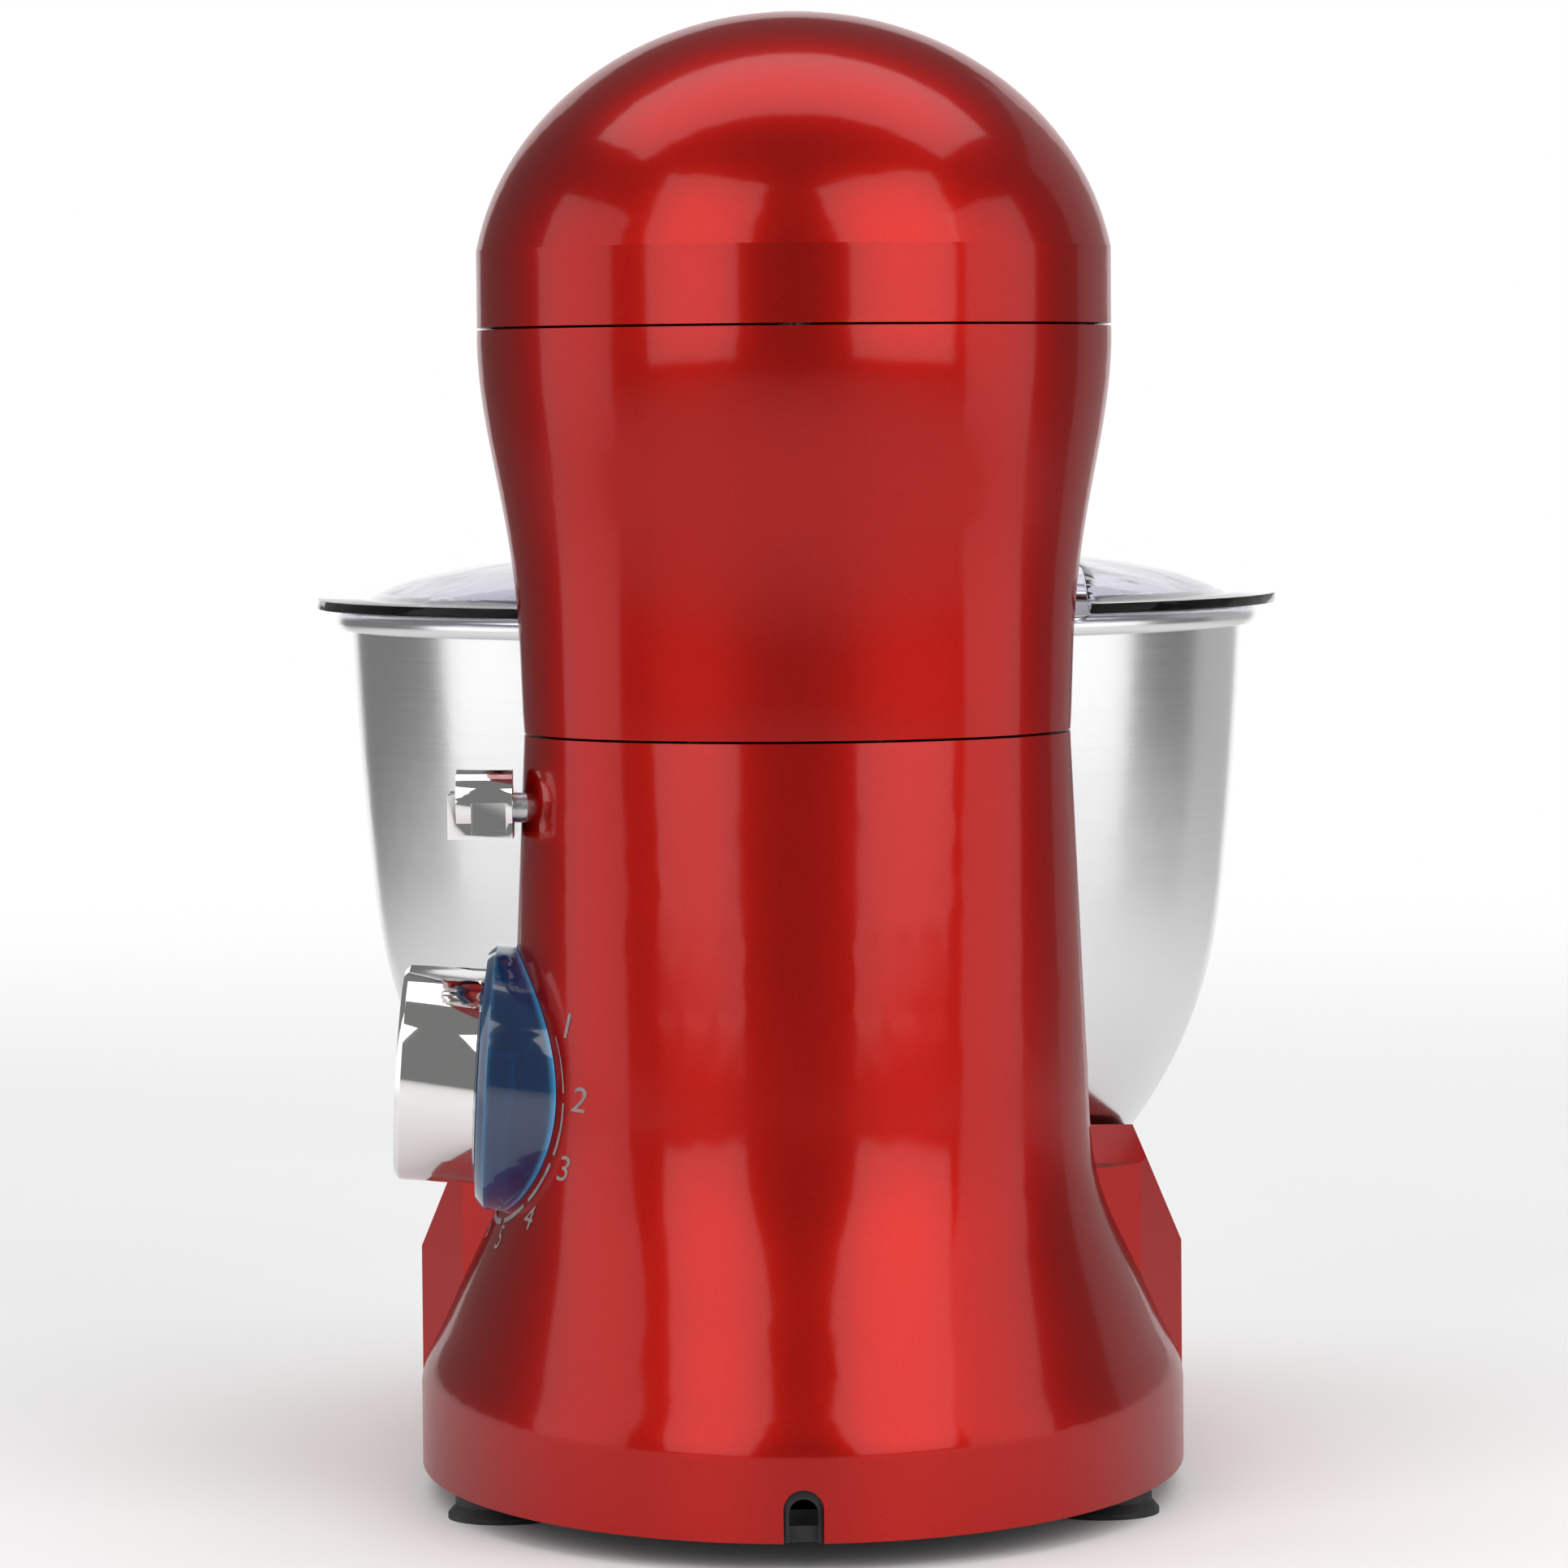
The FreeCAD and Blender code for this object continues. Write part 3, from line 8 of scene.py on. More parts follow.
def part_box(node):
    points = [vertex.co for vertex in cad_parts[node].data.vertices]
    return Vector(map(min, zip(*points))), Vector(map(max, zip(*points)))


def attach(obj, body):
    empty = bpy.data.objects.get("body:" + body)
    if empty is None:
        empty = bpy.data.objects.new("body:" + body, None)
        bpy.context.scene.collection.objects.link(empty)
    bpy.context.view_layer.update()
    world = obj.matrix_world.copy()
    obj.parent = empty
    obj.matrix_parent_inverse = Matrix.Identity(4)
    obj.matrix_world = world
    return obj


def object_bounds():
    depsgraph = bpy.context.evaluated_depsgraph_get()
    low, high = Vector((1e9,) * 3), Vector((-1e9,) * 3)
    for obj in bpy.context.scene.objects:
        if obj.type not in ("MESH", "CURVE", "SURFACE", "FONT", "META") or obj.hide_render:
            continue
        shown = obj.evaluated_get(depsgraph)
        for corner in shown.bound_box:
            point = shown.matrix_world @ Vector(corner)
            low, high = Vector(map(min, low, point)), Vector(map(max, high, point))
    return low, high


# The visual model of a tilt-head stand mixer.
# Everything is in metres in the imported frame: +Z up, the nose points to -Y, the speed knob is
# on the +X side.

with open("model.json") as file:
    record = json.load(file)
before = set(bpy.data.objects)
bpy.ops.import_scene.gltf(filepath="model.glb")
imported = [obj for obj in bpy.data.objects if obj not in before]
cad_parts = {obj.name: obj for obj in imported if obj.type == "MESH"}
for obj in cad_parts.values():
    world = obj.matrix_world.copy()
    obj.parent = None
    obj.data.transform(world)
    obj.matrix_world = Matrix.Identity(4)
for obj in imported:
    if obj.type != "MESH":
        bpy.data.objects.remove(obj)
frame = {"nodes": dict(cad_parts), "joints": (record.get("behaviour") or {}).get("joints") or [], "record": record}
cad_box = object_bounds()
nodes = frame["nodes"]
joints = {joint["name"]: joint for joint in frame["joints"]}


# ---- short ways to build node trees ----

def add(tree, kind, **values):
    """A node; each value sets the property of its name, or else the input socket of its name."""
    node = tree.nodes.new(kind)
    for key, value in values.items():
        if hasattr(node, key):
            setattr(node, key, value)
        else:
            node.inputs[key.replace("_", " ")].default_value = value
    return node


def join(tree, source, target):
    tree.links.new(source, target)


def maths(tree, operation, first, second=0.0):
    """A Math node; either side may be a socket or a number. Returns its output."""
    node = tree.nodes.new("ShaderNodeMath")
    node.operation = operation
    for socket, value in zip(node.inputs, (first, second)):
        if isinstance(value, (int, float)):
            socket.default_value = value
        else:
            join(tree, value, socket)
    return node.outputs[0]


def new_group(name, inputs, outputs):
    """An empty node group with named sockets: inputs are (name, default), outputs are names."""
    group = bpy.data.node_groups.new(name, "ShaderNodeTree")
    for label, default in inputs:
        socket = group.interface.new_socket(name=label, in_out="INPUT", socket_type="NodeSocketFloat")
        socket.default_value = default
    for label in outputs:
        group.interface.new_socket(name=label, in_out="OUTPUT", socket_type="NodeSocketFloat")
    return group, group.nodes.new("NodeGroupInput"), group.nodes.new("NodeGroupOutput")


def make_mottle_group():
    """Soft patches in a piece's own space, spread between two values."""
    group, entry, result = new_group("Mottle", [("Scale", 30.0), ("Low", 0.0), ("High", 1.0)], ["Value"])
    place = add(group, "ShaderNodeTexCoord")
    noise = add(group, "ShaderNodeTexNoise", Detail=4.0, Roughness=0.55)
    spread = add(group, "ShaderNodeMapRange", From_Min=0.32, From_Max=0.68)
    join(group, place.outputs["Object"], noise.inputs["Vector"])
    join(group, entry.outputs["Scale"], noise.inputs["Scale"])
    join(group, noise.outputs["Fac"], spread.inputs["Value"])
    join(group, entry.outputs["Low"], spread.inputs["To Min"])
    join(group, entry.outputs["High"], spread.inputs["To Max"])
    join(group, spread.outputs["Result"], result.inputs["Value"])
    return group


def make_flake_group():
    """Fine metal flakes in a lacquer: a random level for each tiny cell."""
    group, entry, result = new_group("Flakes", [("Scale", 2500.0)], ["Value"])
    place = add(group, "ShaderNodeTexCoord")
    cells = add(group, "ShaderNodeTexVoronoi")
    split = add(group, "ShaderNodeSeparateColor")
    join(group, place.outputs["Object"], cells.inputs["Vector"])
    join(group, entry.outputs["Scale"], cells.inputs["Scale"])
    join(group, cells.outputs["Color"], split.inputs["Color"])
    join(group, split.outputs["Red"], result.inputs["Value"])
    return group


def make_turned_brushing_group():
    """Lines left by polishing a spun piece: they run round an upright axis and vary up its side."""
    group, entry, result = new_group(
        "Turned brushing", [("Axis X", 0.0), ("Axis Y", 0.0), ("Lines per metre", 3000.0)], ["Lines"])
    place = add(group, "ShaderNodeTexCoord")
    split = add(group, "ShaderNodeSeparateXYZ")
    join(group, place.outputs["Object"], split.inputs["Vector"])
    across = maths(group, "SUBTRACT", split.outputs["X"], entry.outputs["Axis X"])
    along = maths(group, "SUBTRACT", split.outputs["Y"], entry.outputs["Axis Y"])
    radius = maths(group, "SQRT", maths(group, "ADD", maths(group, "MULTIPLY", across, across),
                                        maths(group, "MULTIPLY", along, along)))
    safe = maths(group, "MAXIMUM", radius, 0.0001)
    climb = maths(group, "MULTIPLY", maths(group, "ADD", split.outputs["Z"], radius),
                  entry.outputs["Lines per metre"])
    spot = add(group, "ShaderNodeCombineXYZ")
    join(group, maths(group, "DIVIDE", across, safe), spot.inputs["X"])
    join(group, maths(group, "DIVIDE", along, safe), spot.inputs["Y"])
    join(group, climb, spot.inputs["Z"])
    noise = add(group, "ShaderNodeTexNoise", Scale=1.0, Detail=3.0, Roughness=0.6)
    join(group, spot.outputs["Vector"], noise.inputs["Vector"])
    join(group, noise.outputs["Fac"], result.inputs["Lines"])
    return group


def make_edge_group():
    """Where a surface turns sharply: the normal rounded over a radius, held against the plain one."""
    group, entry, result = new_group("Rubbed edges", [("Radius", 0.0006), ("Sharpness", 6.0)], ["Mask"])
    rounded = add(group, "ShaderNodeBevel", samples=4)
    plain = add(group, "ShaderNodeNewGeometry")
    match = add(group, "ShaderNodeVectorMath", operation="DOT_PRODUCT")
    join(group, entry.outputs["Radius"], rounded.inputs["Radius"])
    join(group, rounded.outputs["Normal"], match.inputs[0])
    join(group, plain.outputs["Normal"], match.inputs[1])
    turned_away = maths(group, "SUBTRACT", 1.0, match.outputs["Value"])
    clipped = add(group, "ShaderNodeClamp")
    join(group, maths(group, "MULTIPLY", turned_away, entry.outputs["Sharpness"]), clipped.inputs["Value"])
    join(group, clipped.outputs["Result"], result.inputs["Mask"])
    return group


MOTTLE = make_mottle_group()
FLAKES = make_flake_group()
TURNED = make_turned_brushing_group()
EDGES = make_edge_group()


class Finish:
    """A material while it is put together: its tree and its shader."""

    def __init__(self, name, **shader_values):
        self.material = bpy.data.materials.new(name)
        self.material.use_nodes = True
        self.tree = self.material.node_tree
        self.shader = self.tree.nodes["Principled BSDF"]
        for key, value in shader_values.items():
            self.shader.inputs[key.replace("_", " ")].default_value = value

    def effect(self, group, output, **values):
        """One use of a shared effect, with its own values."""
        node = self.tree.nodes.new("ShaderNodeGroup")
        node.node_tree = group
        for key, value in values.items():
            node.inputs[key.replace("_", " ")].default_value = value
        return node.outputs[output]

    def blend(self, factor, first, second):
        """A colour between two, each a plain colour or a socket."""
        mix = add(self.tree, "ShaderNodeMix", data_type="RGBA")
        join(self.tree, factor, mix.inputs["Factor"])
        for socket, value in ((mix.inputs["A"], first), (mix.inputs["B"], second)):
            colours = [s for s in mix.inputs if s.name == socket.name and s.type == "RGBA"][0]
            if isinstance(value, tuple):
                colours.default_value = (*value, 1.0)
            else:
                join(self.tree, value, colours)
        return [s for s in mix.outputs if s.type == "RGBA"][0]

    def drive(self, socket, source):
        join(self.tree, source, self.shader.inputs[socket])

    def relief(self, height, depth):
        """Bump of a depth in metres from a height between 0 and 1."""
        bump = add(self.tree, "ShaderNodeBump", Strength=1.0, Distance=depth)
        join(self.tree, height, bump.inputs["Height"])
        self.drive("Normal", bump.outputs["Normal"])


# ---- the finishes ----

def red_lacquer():
    """Metallic red lacquer under a clear coat, with a faint orange peel."""
    finish = Finish("red_lacquer", Metallic=0.88, Coat_Weight=0.5, Coat_Roughness=0.1, Coat_IOR=1.5,
                    Specular_Tint=(0.4, 0.04, 0.03, 1.0))
    flakes = finish.effect(FLAKES, "Value", Scale=2600.0)
    depth = finish.effect(MOTTLE, "Value", Scale=9.0, Low=0.25, High=0.75)
    body = finish.blend(depth, (0.36, 0.0035, 0.0012), (0.40, 0.0045, 0.0016))
    sparkle = maths(finish.tree, "MULTIPLY", flakes, 0.3)
    coloured = finish.blend(sparkle, body, (0.50, 0.012, 0.006))
    finish.drive("Base Color", coloured)
    finish.drive("Roughness", finish.effect(MOTTLE, "Value", Scale=26.0, Low=0.34, High=0.38))
    finish.relief(finish.effect(MOTTLE, "Value", Scale=900.0), 0.0000012)
    return finish.material


def satin_steel():
    """Spun stainless steel, polished round its axis to a soft satin."""
    low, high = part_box("mixing_bowl")
    finish = Finish("satin_steel", Metallic=1.0)
    lines = finish.effect(TURNED, "Lines", Axis_X=(low[0] + high[0]) / 2, Axis_Y=(low[1] + high[1]) / 2,
                          Lines_per_metre=2600.0)
    finish.drive("Base Color", finish.blend(lines, (0.70, 0.70, 0.71), (0.76, 0.76, 0.77)))
    haze = finish.effect(MOTTLE, "Value", Scale=14.0, Low=0.0, High=0.03)
    streaks = maths(finish.tree, "MULTIPLY", lines, 0.05)
    uneven = maths(finish.tree, "ADD", streaks, haze)
    finish.drive("Roughness", maths(finish.tree, "ADD", uneven, 0.17))
    finish.relief(lines, 0.0000008)
    return finish.material


def chrome():
    """Bright plated plastic with faint handling haze."""
    finish = Finish("chrome", Metallic=1.0)
    haze = finish.effect(MOTTLE, "Value", Scale=60.0, Low=0.02, High=0.07)
    finish.drive("Base Color", finish.blend(finish.effect(EDGES, "Mask", Radius=0.0005),
                                            (0.80, 0.79, 0.78), (0.92, 0.92, 0.92)))
    finish.drive("Roughness", haze)
    finish.relief(finish.effect(MOTTLE, "Value", Scale=220.0), 0.0000008)
    return finish.material


def blue_ring():
    """Clear blue plastic that lets the lamp behind it through, brightest along its rims."""
    finish = Finish("blue_ring", Transmission_Weight=0.6, IOR=1.49, Coat_Weight=0.9, Coat_Roughness=0.03,
                    Emission_Strength=0.5)
    bevels = finish.effect(EDGES, "Mask", Radius=0.0022, Sharpness=5.0)
    cloud = finish.effect(MOTTLE, "Value", Scale=45.0, Low=0.0, High=0.45)
    deep = finish.blend(cloud, (0.001, 0.012, 0.05), (0.003, 0.045, 0.12))
    glow = finish.blend(bevels, deep, (0.04, 0.30, 0.56))
    finish.drive("Base Color", glow)
    finish.drive("Emission Color", glow)
    finish.drive("Roughness", finish.effect(MOTTLE, "Value", Scale=80.0, Low=0.08, High=0.16))
    return finish.material


def clear_lid():
    """Clear plastic with a violet tint that gathers along its edges."""
    finish = Finish("clear_lid", Transmission_Weight=1.0, Metallic=0.0, IOR=1.2)
    edges = finish.effect(EDGES, "Mask", Radius=0.0022, Sharpness=2.2)
    finish.drive("Base Color", finish.blend(edges, (0.82, 0.81, 0.90), (0.66, 0.62, 0.90)))
    finish.drive("Roughness", finish.effect(MOTTLE, "Value", Scale=40.0, Low=0.03, High=0.09))
    finish.relief(finish.effect(MOTTLE, "Value", Scale=35.0), 0.00004)
    return finish.material


def rubber(name, colour, dusty, grain):
    """Black rubber: matt, finely pitted, a little grey where it is rubbed."""
    finish = Finish(name, Specular_IOR_Level=0.35)
    dust = finish.effect(MOTTLE, "Value", Scale=90.0, Low=0.0, High=0.6)
    worn = maths(finish.tree, "MAXIMUM", dust, finish.effect(EDGES, "Mask", Radius=0.0005))
    finish.drive("Base Color", finish.blend(worn, colour, dusty))
    finish.drive("Roughness", finish.effect(MOTTLE, "Value", Scale=160.0, Low=0.5, High=0.75))
    finish.relief(finish.effect(MOTTLE, "Value", Scale=grain), 0.00003)
    return finish.material


def moulded(name, colour, light, roughness, grain, depth=0.00003):
    """Moulded plastic with a fine spark-eroded texture and lighter, rubbed edges."""
    finish = Finish(name, Specular_IOR_Level=0.45)
    rubbed = finish.effect(EDGES, "Mask", Radius=0.0007)
    tone = finish.effect(MOTTLE, "Value", Scale=grain / 8, Low=0.0, High=0.5)
    finish.drive("Base Color", finish.blend(maths(finish.tree, "MAXIMUM", tone, rubbed), colour, light))
    finish.drive("Roughness", finish.effect(MOTTLE, "Value", Scale=grain,
                                            Low=roughness - 0.07, High=roughness + 0.07))
    finish.relief(finish.effect(MOTTLE, "Value", Scale=grain), depth)
    return finish.material


def metal(name, colour, light, roughness, grain, depth=0.00001):
    """Worked metal: cut or cast grain, with brighter edges."""
    finish = Finish(name, Metallic=1.0)
    rubbed = finish.effect(EDGES, "Mask", Radius=0.0006)
    tone = finish.effect(MOTTLE, "Value", Scale=grain / 5, Low=0.0, High=0.6)
    finish.drive("Base Color", finish.blend(maths(finish.tree, "MAXIMUM", tone, rubbed), colour, light))
    finish.drive("Roughness", finish.effect(MOTTLE, "Value", Scale=grain,
                                            Low=roughness - 0.08, High=roughness + 0.08))
    finish.relief(finish.effect(MOTTLE, "Value", Scale=grain), depth)
    return finish.material


def copper_wire():
    """Enamelled copper: fine windings that run up and down, glossy between dark gaps, whose darkness is painted
    shade between the wires.
    """
    finish = Finish("copper_wire", Metallic=0.9, Coat_Weight=0.5, Coat_Roughness=0.1)
    wires = add(finish.tree, "ShaderNodeTexWave", Scale=520.0, Distortion=0.6, Detail=1.0)
    place = add(finish.tree, "ShaderNodeTexCoord")
    join(finish.tree, place.outputs["Object"], wires.inputs["Vector"])
    # the wave is the real winding pattern; its dark troughs are painted shade in the gaps between the wires
    finish.drive("Base Color", finish.blend(wires.outputs["Fac"], (0.20, 0.06, 0.02), (0.72, 0.34, 0.16)))
    finish.drive("Roughness", finish.effect(MOTTLE, "Value", Scale=120.0, Low=0.25, High=0.4))
    finish.relief(wires.outputs["Fac"], 0.0002)
    return finish.material


def printed_ink():
    """Pale grey ink, slightly uneven, on the lacquer."""
    finish = Finish("printed_ink", Metallic=0.1)
    cover = finish.effect(MOTTLE, "Value", Scale=500.0, Low=0.0, High=1.0)
    finish.drive("Base Color", finish.blend(cover, (0.20, 0.16, 0.16), (0.28, 0.24, 0.24)))
    finish.drive("Roughness", finish.effect(MOTTLE, "Value", Scale=300.0, Low=0.35, High=0.5))
    return finish.material


def circuit_board():
    """Green lacquered board with a faint weave of glass cloth."""
    finish = Finish("circuit_board", Coat_Weight=0.4, Coat_Roughness=0.15)
    weave = add(finish.tree, "ShaderNodeTexChecker", Scale=900.0)
    place = add(finish.tree, "ShaderNodeTexCoord")
    join(finish.tree, place.outputs["Object"], weave.inputs["Vector"])
    tone = maths(finish.tree, "MULTIPLY", weave.outputs["Fac"], 0.4)
    finish.drive("Base Color", finish.blend(tone, (0.01, 0.10, 0.03), (0.05, 0.22, 0.08)))
    finish.drive("Roughness", finish.effect(MOTTLE, "Value", Scale=140.0, Low=0.35, High=0.5))
    return finish.material


FINISHES = {
    "red_shell": red_lacquer(),
    "dark_plastic": moulded("dark_plastic", (0.018, 0.018, 0.020), (0.05, 0.05, 0.055), 0.55, 1100.0),
    "black_rubber": rubber("black_rubber", (0.008, 0.008, 0.009), (0.035, 0.035, 0.036), 1400.0),
    "belt_rubber": rubber("belt_rubber", (0.010, 0.010, 0.010), (0.045, 0.045, 0.045), 900.0),
    "steel": metal("machined_steel", (0.42, 0.42, 0.44), (0.68, 0.68, 0.70), 0.3, 1200.0),
    "cast_alloy": metal("cast_alloy", (0.50, 0.50, 0.52), (0.74, 0.74, 0.76), 0.38, 700.0, 0.00003),
    "nylon": moulded("nylon", (0.60, 0.58, 0.52), (0.74, 0.72, 0.66), 0.45, 600.0),
    "grey_hub": moulded("hub_plastic", (0.10, 0.10, 0.105), (0.2, 0.2, 0.21), 0.32, 900.0, 0.00001),
    "copper": copper_wire(),
    "circuit_board": circuit_board(),
    "stainless": satin_steel(),
    "chrome": chrome(),
    "blue_ring": blue_ring(),
    "clear_lid": clear_lid(),
}
for part in frame["record"]["subparts"]:
    mesh = nodes[part["node"]].data
    mesh.materials.clear()
    mesh.materials.append(FINISHES[part["material_slot"]])


# ---- softened edges and smooth shading on the CAD pieces ----

SEAM_GAP = 0.00001
SHARP_ANGLE = math.radians(30.0)
# radius of each eased piece's edges
EASED = {
    "speed_knob": 0.0004, "release_lever": 0.0012, "light_ring": 0.0005, "splash_lid": 0.0006,
    "flat_beater": 0.0016, "planet_hub": 0.0008, "bowl_lock_ring": 0.0006, "bowl_foot": 0.0004,
    "bottom_cover": 0.0005, "outlet_sleeve": 0.0003, "hinge_support": 0.0008, "hinge_bracket": 0.0008,
    "latch_hook": 0.0005, "latch_striker": 0.0004, "tilt_switch": 0.0004, "speed_board": 0.0001,
    "gear_case": 0.0008, "gear_case_lid": 0.0006, "motor_stack": 0.0006, "field_coils": 0.0015,
    "brush_holders": 0.0006, "cooling_fan": 0.0002, "drive_pulley": 0.0005, "motor_pulley": 0.0004,
    "drive_belt": 0.0003, "motor_bracket_low": 0.0005, "motor_bracket_top": 0.0005,
}


def soften(piece, width):
    """Rounds a piece's sharp edges by a small radius, with its flat faces kept flat."""
    weld = piece.modifiers.new("close_seams", "WELD")
    weld.merge_threshold = SEAM_GAP
    bevel = piece.modifiers.new("eased_edges", "BEVEL")
    bevel.width = width
    bevel.segments = 3
    bevel.limit_method = "ANGLE"
    bevel.angle_limit = SHARP_ANGLE
    bevel.harden_normals = True
    bevel.use_clamp_overlap = True


for part in frame["record"]["subparts"]:
    for polygon in nodes[part["node"]].data.polygons:
        polygon.use_smooth = True
for name, width in EASED.items():
    soften(nodes[name], width)


# ---- the printed speed scale round the ring ----

def knob_frame():
    """The knob's axis as local +Z, with local +X pointing to the rear and local +Y up."""
    joint = joints["knob_turn"]
    out = -Vector(joint["axis"]).normalized()
    rear = Vector((0.0, 1.0, 0.0))
    up = out.cross(rear).normalized()
    turn = Matrix((rear, up, out)).transposed().to_4x4()
    return Matrix.Translation(Vector(joint["pos_m"])) @ turn


SCALE_RADIUS = 0.0375
ARC_RADIUS = 0.0335
ARC_STEPS = 14
ARC_CLEARANCE = 2.0
THINNEST_LINE = 0.0001
DIGIT_HEIGHT = 0.0062
DIGIT_SLANT = 0.25
INK_LIFT = 0.00012
SCALE_ANGLES = {"0": -24.0, "1": 65.0, "2": 91.0, "3": 117.0, "4": 143.0, "5": 169.0, "6": 195.0}
INK = printed_ink()


def print_on_column(name, mesh):
    """Lays flat artwork, drawn in the knob's plane, on the column's curved side."""
    piece = bpy.data.objects.new(name, mesh)
    bpy.context.scene.collection.objects.link(piece)
    mesh.materials.append(INK)
    piece.matrix_world = knob_frame()
    lay = piece.modifiers.new("laid_on_the_column", "SHRINKWRAP")
    lay.target = nodes["base_housing"]
    lay.wrap_method = "PROJECT"
    lay.use_project_z = True
    lay.use_negative_direction = True
    lay.use_positive_direction = False
    lay.offset = INK_LIFT
    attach(piece, "base")
    return piece


def scale_point(radius, degrees, lift):
    """A point at an angle from the top of the dial, turning towards the rear."""
    turn = math.radians(degrees)
    return Vector((radius * math.sin(turn), radius * math.cos(turn), lift))


def make_scale_digit(text, degrees):
    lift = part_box("light_ring")[1][0]
    curve = bpy.data.curves.new("digit", "FONT")
    curve.body = text
    curve.size = DIGIT_HEIGHT * 1.35
    curve.align_x = "CENTER"
    curve.align_y = "CENTER"
    curve.shear = DIGIT_SLANT
    drawn = bpy.data.objects.new("digit", curve)
    bpy.context.scene.collection.objects.link(drawn)
    bpy.context.view_layer.update()
    mesh = bpy.data.meshes.new_from_object(drawn)
    bpy.data.objects.remove(drawn)
    mesh.transform(Matrix.Translation(scale_point(SCALE_RADIUS, degrees, lift)))
    return print_on_column("scale_digit_" + text, mesh)


def make_scale_arc(index, start, end):
    """A thin printed arc between two digits, thickening as the speed rises."""
    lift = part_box("light_ring")[1][0]
    inner, outer = [], []
    for step in range(ARC_STEPS + 1):
        degrees = start + (end - start) * step / ARC_STEPS
        half = THINNEST_LINE + 0.0007 * (degrees - 60.0) / 140.0
        inner.append(scale_point(ARC_RADIUS - half, degrees, lift))
        outer.append(scale_point(ARC_RADIUS + half, degrees, lift))
    corners = inner + outer
    count = ARC_STEPS + 1
    faces = [(step, step + 1, count + step + 1, count + step) for step in range(ARC_STEPS)]
    mesh = bpy.data.meshes.new("scale_arc")
    mesh.from_pydata(corners, [], faces)
    return print_on_column(f"scale_arc_{index}", mesh)


for text, degrees in SCALE_ANGLES.items():
    make_scale_digit(text, degrees)
marks = list(SCALE_ANGLES.values())[1:]
for index, (start, end) in enumerate(zip(marks, marks[1:]), start=1):
    make_scale_arc(index, start + ARC_CLEARANCE, end - ARC_CLEARANCE)


# ---- floor, light and camera ----

FLOOR_REACH = 2.5
FADE_START, FADE_END = 0.35, 1.9


def make_floor():
    mesh = bpy.data.meshes.new("floor")
    corners = [(across * FLOOR_REACH, along * FLOOR_REACH, 0)
               for across, along in ((-1, -1), (1, -1), (1, 1), (-1, 1))]
    mesh.from_pydata(corners, [], [(0, 1, 2, 3)])
    floor = bpy.data.objects.new("floor", mesh)
    bpy.context.scene.collection.objects.link(floor)
    finish = Finish("pale_floor", Specular_IOR_Level=0.2)
    tone = finish.effect(MOTTLE, "Value", Scale=2.0)
    finish.drive("Base Color", finish.blend(tone, (0.92, 0.92, 0.92), (0.94, 0.94, 0.94)))
    finish.drive("Roughness", finish.effect(MOTTLE, "Value", Scale=6.0, Low=0.6, High=0.7))
    place = add(finish.tree, "ShaderNodeTexCoord")
    length = add(finish.tree, "ShaderNodeVectorMath", operation="LENGTH")
    join(finish.tree, place.outputs["Object"], length.inputs[0])
    fade = add(finish.tree, "ShaderNodeMapRange", interpolation_type="SMOOTHSTEP",
               From_Min=FADE_START, From_Max=FADE_END, To_Min=1.0, To_Max=0.0)
    join(finish.tree, length.outputs["Value"], fade.inputs["Value"])
    finish.drive("Alpha", fade.outputs["Result"])
    mesh.materials.append(finish.material)


def softbox(name, azimuth, elevation, distance, width, height, radiance, aim):
    """A rectangular light at an angle from +Y, towards +X, that faces a point."""
    light = bpy.data.lights.new(name, "AREA")
    light.shape = "RECTANGLE"
    light.size = width
    light.size_y = height
    light.energy = radiance * math.pi * width * height
    holder = bpy.data.objects.new(name, light)
    bpy.context.scene.collection.objects.link(holder)
    turn, climb = math.radians(azimuth), math.radians(elevation)
    away = Vector((math.sin(turn) * math.cos(climb), math.cos(turn) * math.cos(climb), math.sin(climb)))
    holder.location = aim + away * distance
    holder.rotation_euler = (-away).to_track_quat("-Z", "Y").to_euler()
    holder.visible_camera = False


LIGHTS_AIM = Vector((0.0, 0.05, 0.2))
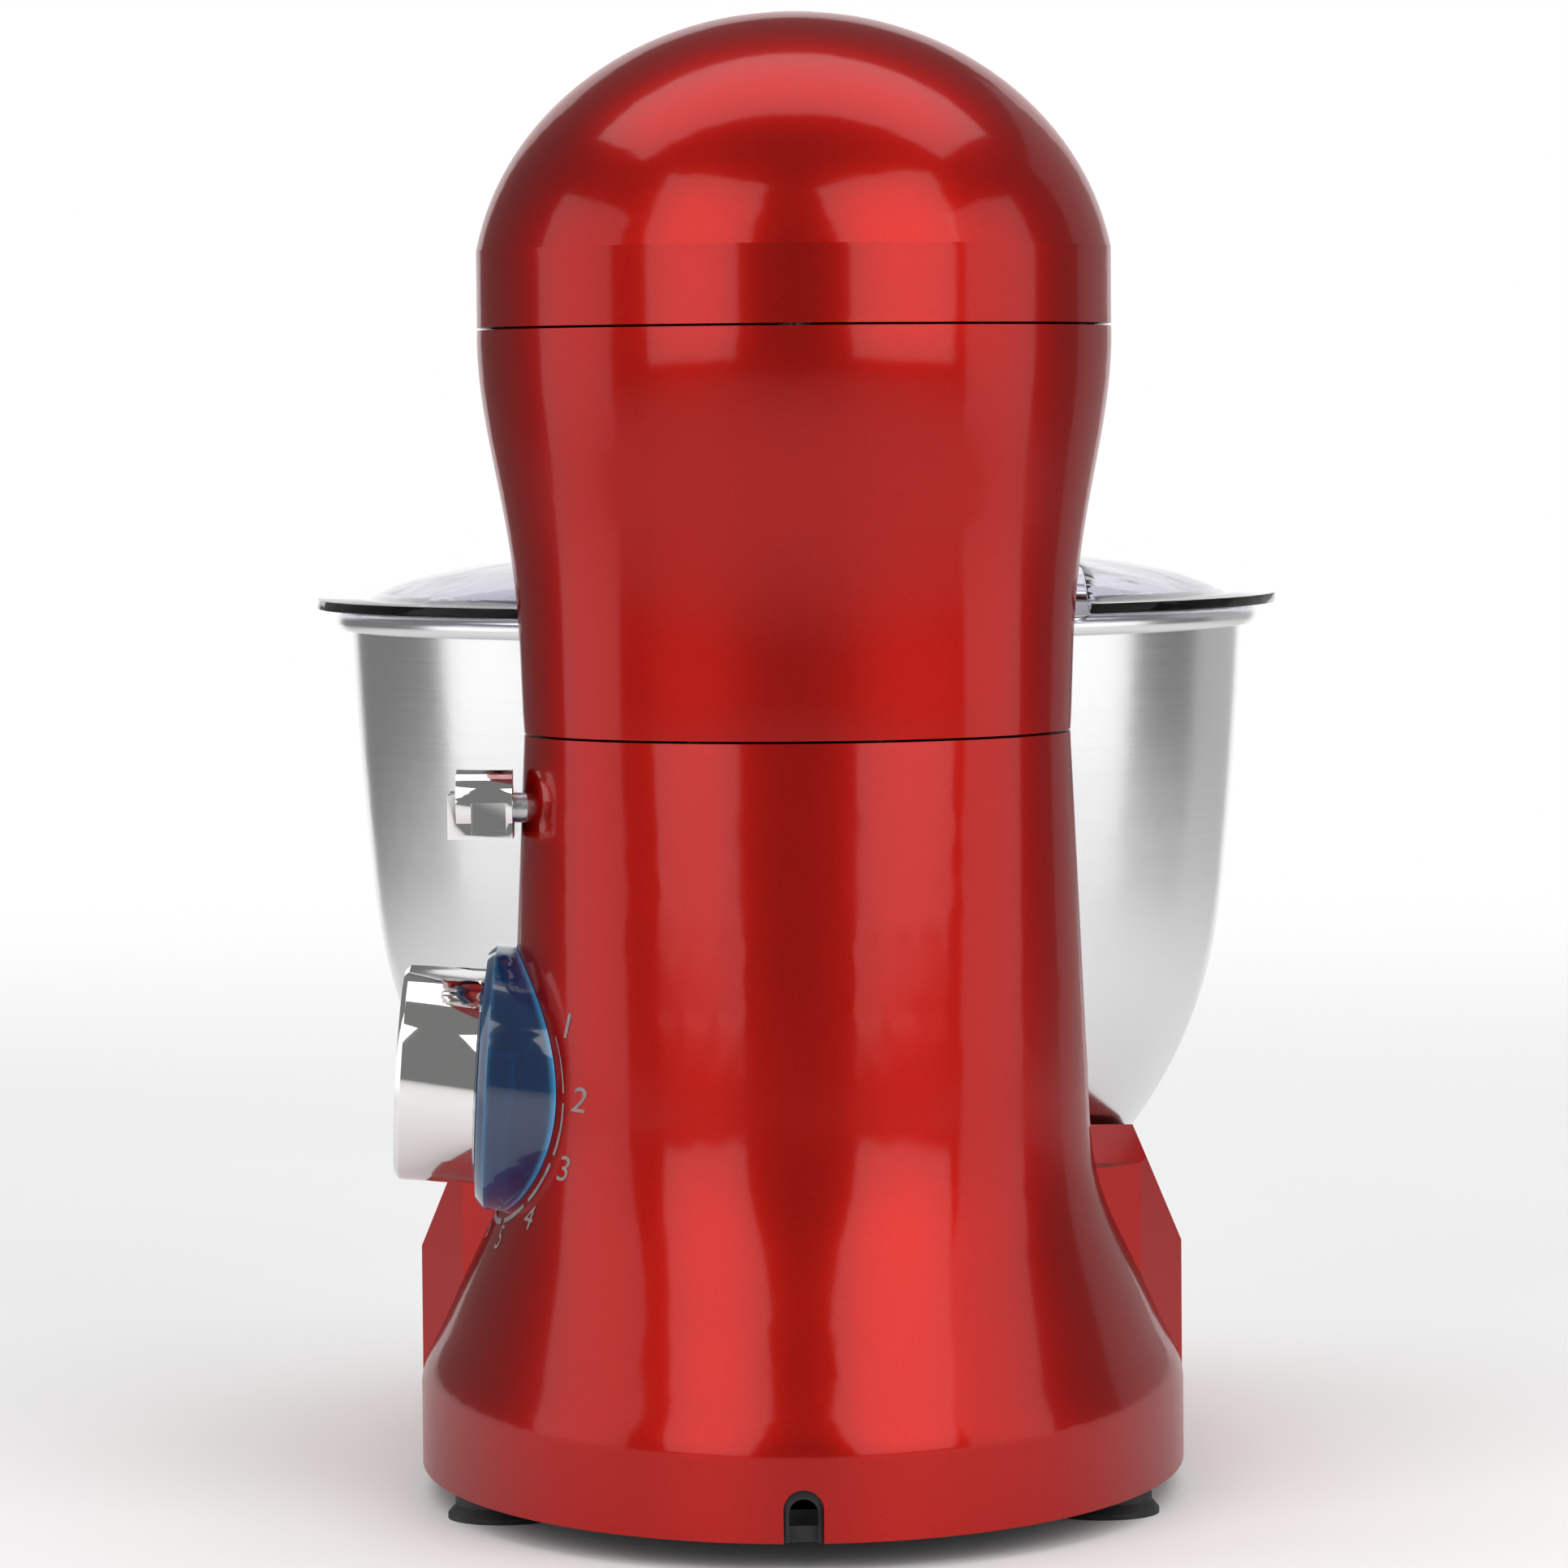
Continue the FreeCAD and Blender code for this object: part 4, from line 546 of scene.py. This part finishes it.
# name, azimuth, elevation, distance, width, height, radiance
LIGHTS = [
    ("strip_knob_side", 37, 24, 1.75, 1.15, 1.9, 2.0),
    ("strip_far_side", -40, 24, 1.75, 1.35, 1.9, 2.1),
    ("panel_knob_side", 86, 10, 1.7, 1.1, 1.5, 1.2),
    ("panel_far_side", -80, 10, 1.7, 1.0, 1.5, 1.2),
    ("panel_far_front", -140, 10, 1.7, 1.0, 1.5, 0.3),
    ("overhead", 180, 80, 1.65, 2.8, 1.0, 2.0),
    ("backdrop", 180, 8, 1.9, 1.6, 1.4, 1.0),
]
SURROUND_SEEN = 1.0
SURROUND_FELT = 0.22


def light_the_studio():
    """The softboxes, and a white surround that looks brighter than it shines."""
    for light in LIGHTS:
        softbox(*light, LIGHTS_AIM)
    world = bpy.data.worlds.new("studio")
    bpy.context.scene.world = world
    world.use_nodes = True
    tree = world.node_tree
    backdrop = tree.nodes["Background"]
    backdrop.inputs["Color"].default_value = (1.0, 1.0, 1.0, 1.0)
    seen = add(tree, "ShaderNodeLightPath")
    strength = add(tree, "ShaderNodeMapRange", To_Min=SURROUND_FELT, To_Max=SURROUND_SEEN)
    join(tree, seen.outputs["Is Camera Ray"], strength.inputs["Value"])
    join(tree, strength.outputs["Result"], backdrop.inputs["Strength"])


CAMERA_DISTANCE = 1.5
CAMERA_LENS = 156.4
CAMERA_HEIGHT_SHARE = 0.7503
CAMERA_AIM_X = 0.0034
LOOK_DOWN = math.radians(3.32)
CAMERA_ROLL = math.radians(-0.48)


def place_camera():
    """Behind the mixer, level with the top of its bowl, looking down very slightly."""
    lens = bpy.data.cameras.new("camera")
    lens.lens = CAMERA_LENS
    lens.sensor_width = 36.0
    lens.clip_end = 50.0
    camera = bpy.data.objects.new("camera", lens)
    bpy.context.scene.collection.objects.link(camera)
    behind = cad_box[1][1] + CAMERA_DISTANCE
    height = cad_box[1][2] * CAMERA_HEIGHT_SHARE
    spot = Vector((0.0, behind, height))
    look = Vector((CAMERA_AIM_X, 0.0, height - behind * math.tan(LOOK_DOWN)))
    turn = (look - spot).to_track_quat("-Z", "Y").to_matrix().to_4x4()
    camera.matrix_world = Matrix.Translation(spot) @ turn @ Matrix.Rotation(CAMERA_ROLL, 4, "Z")
    bpy.context.scene.camera = camera


make_floor()
light_the_studio()
place_camera()
bpy.context.scene.view_settings.view_transform = "Standard"
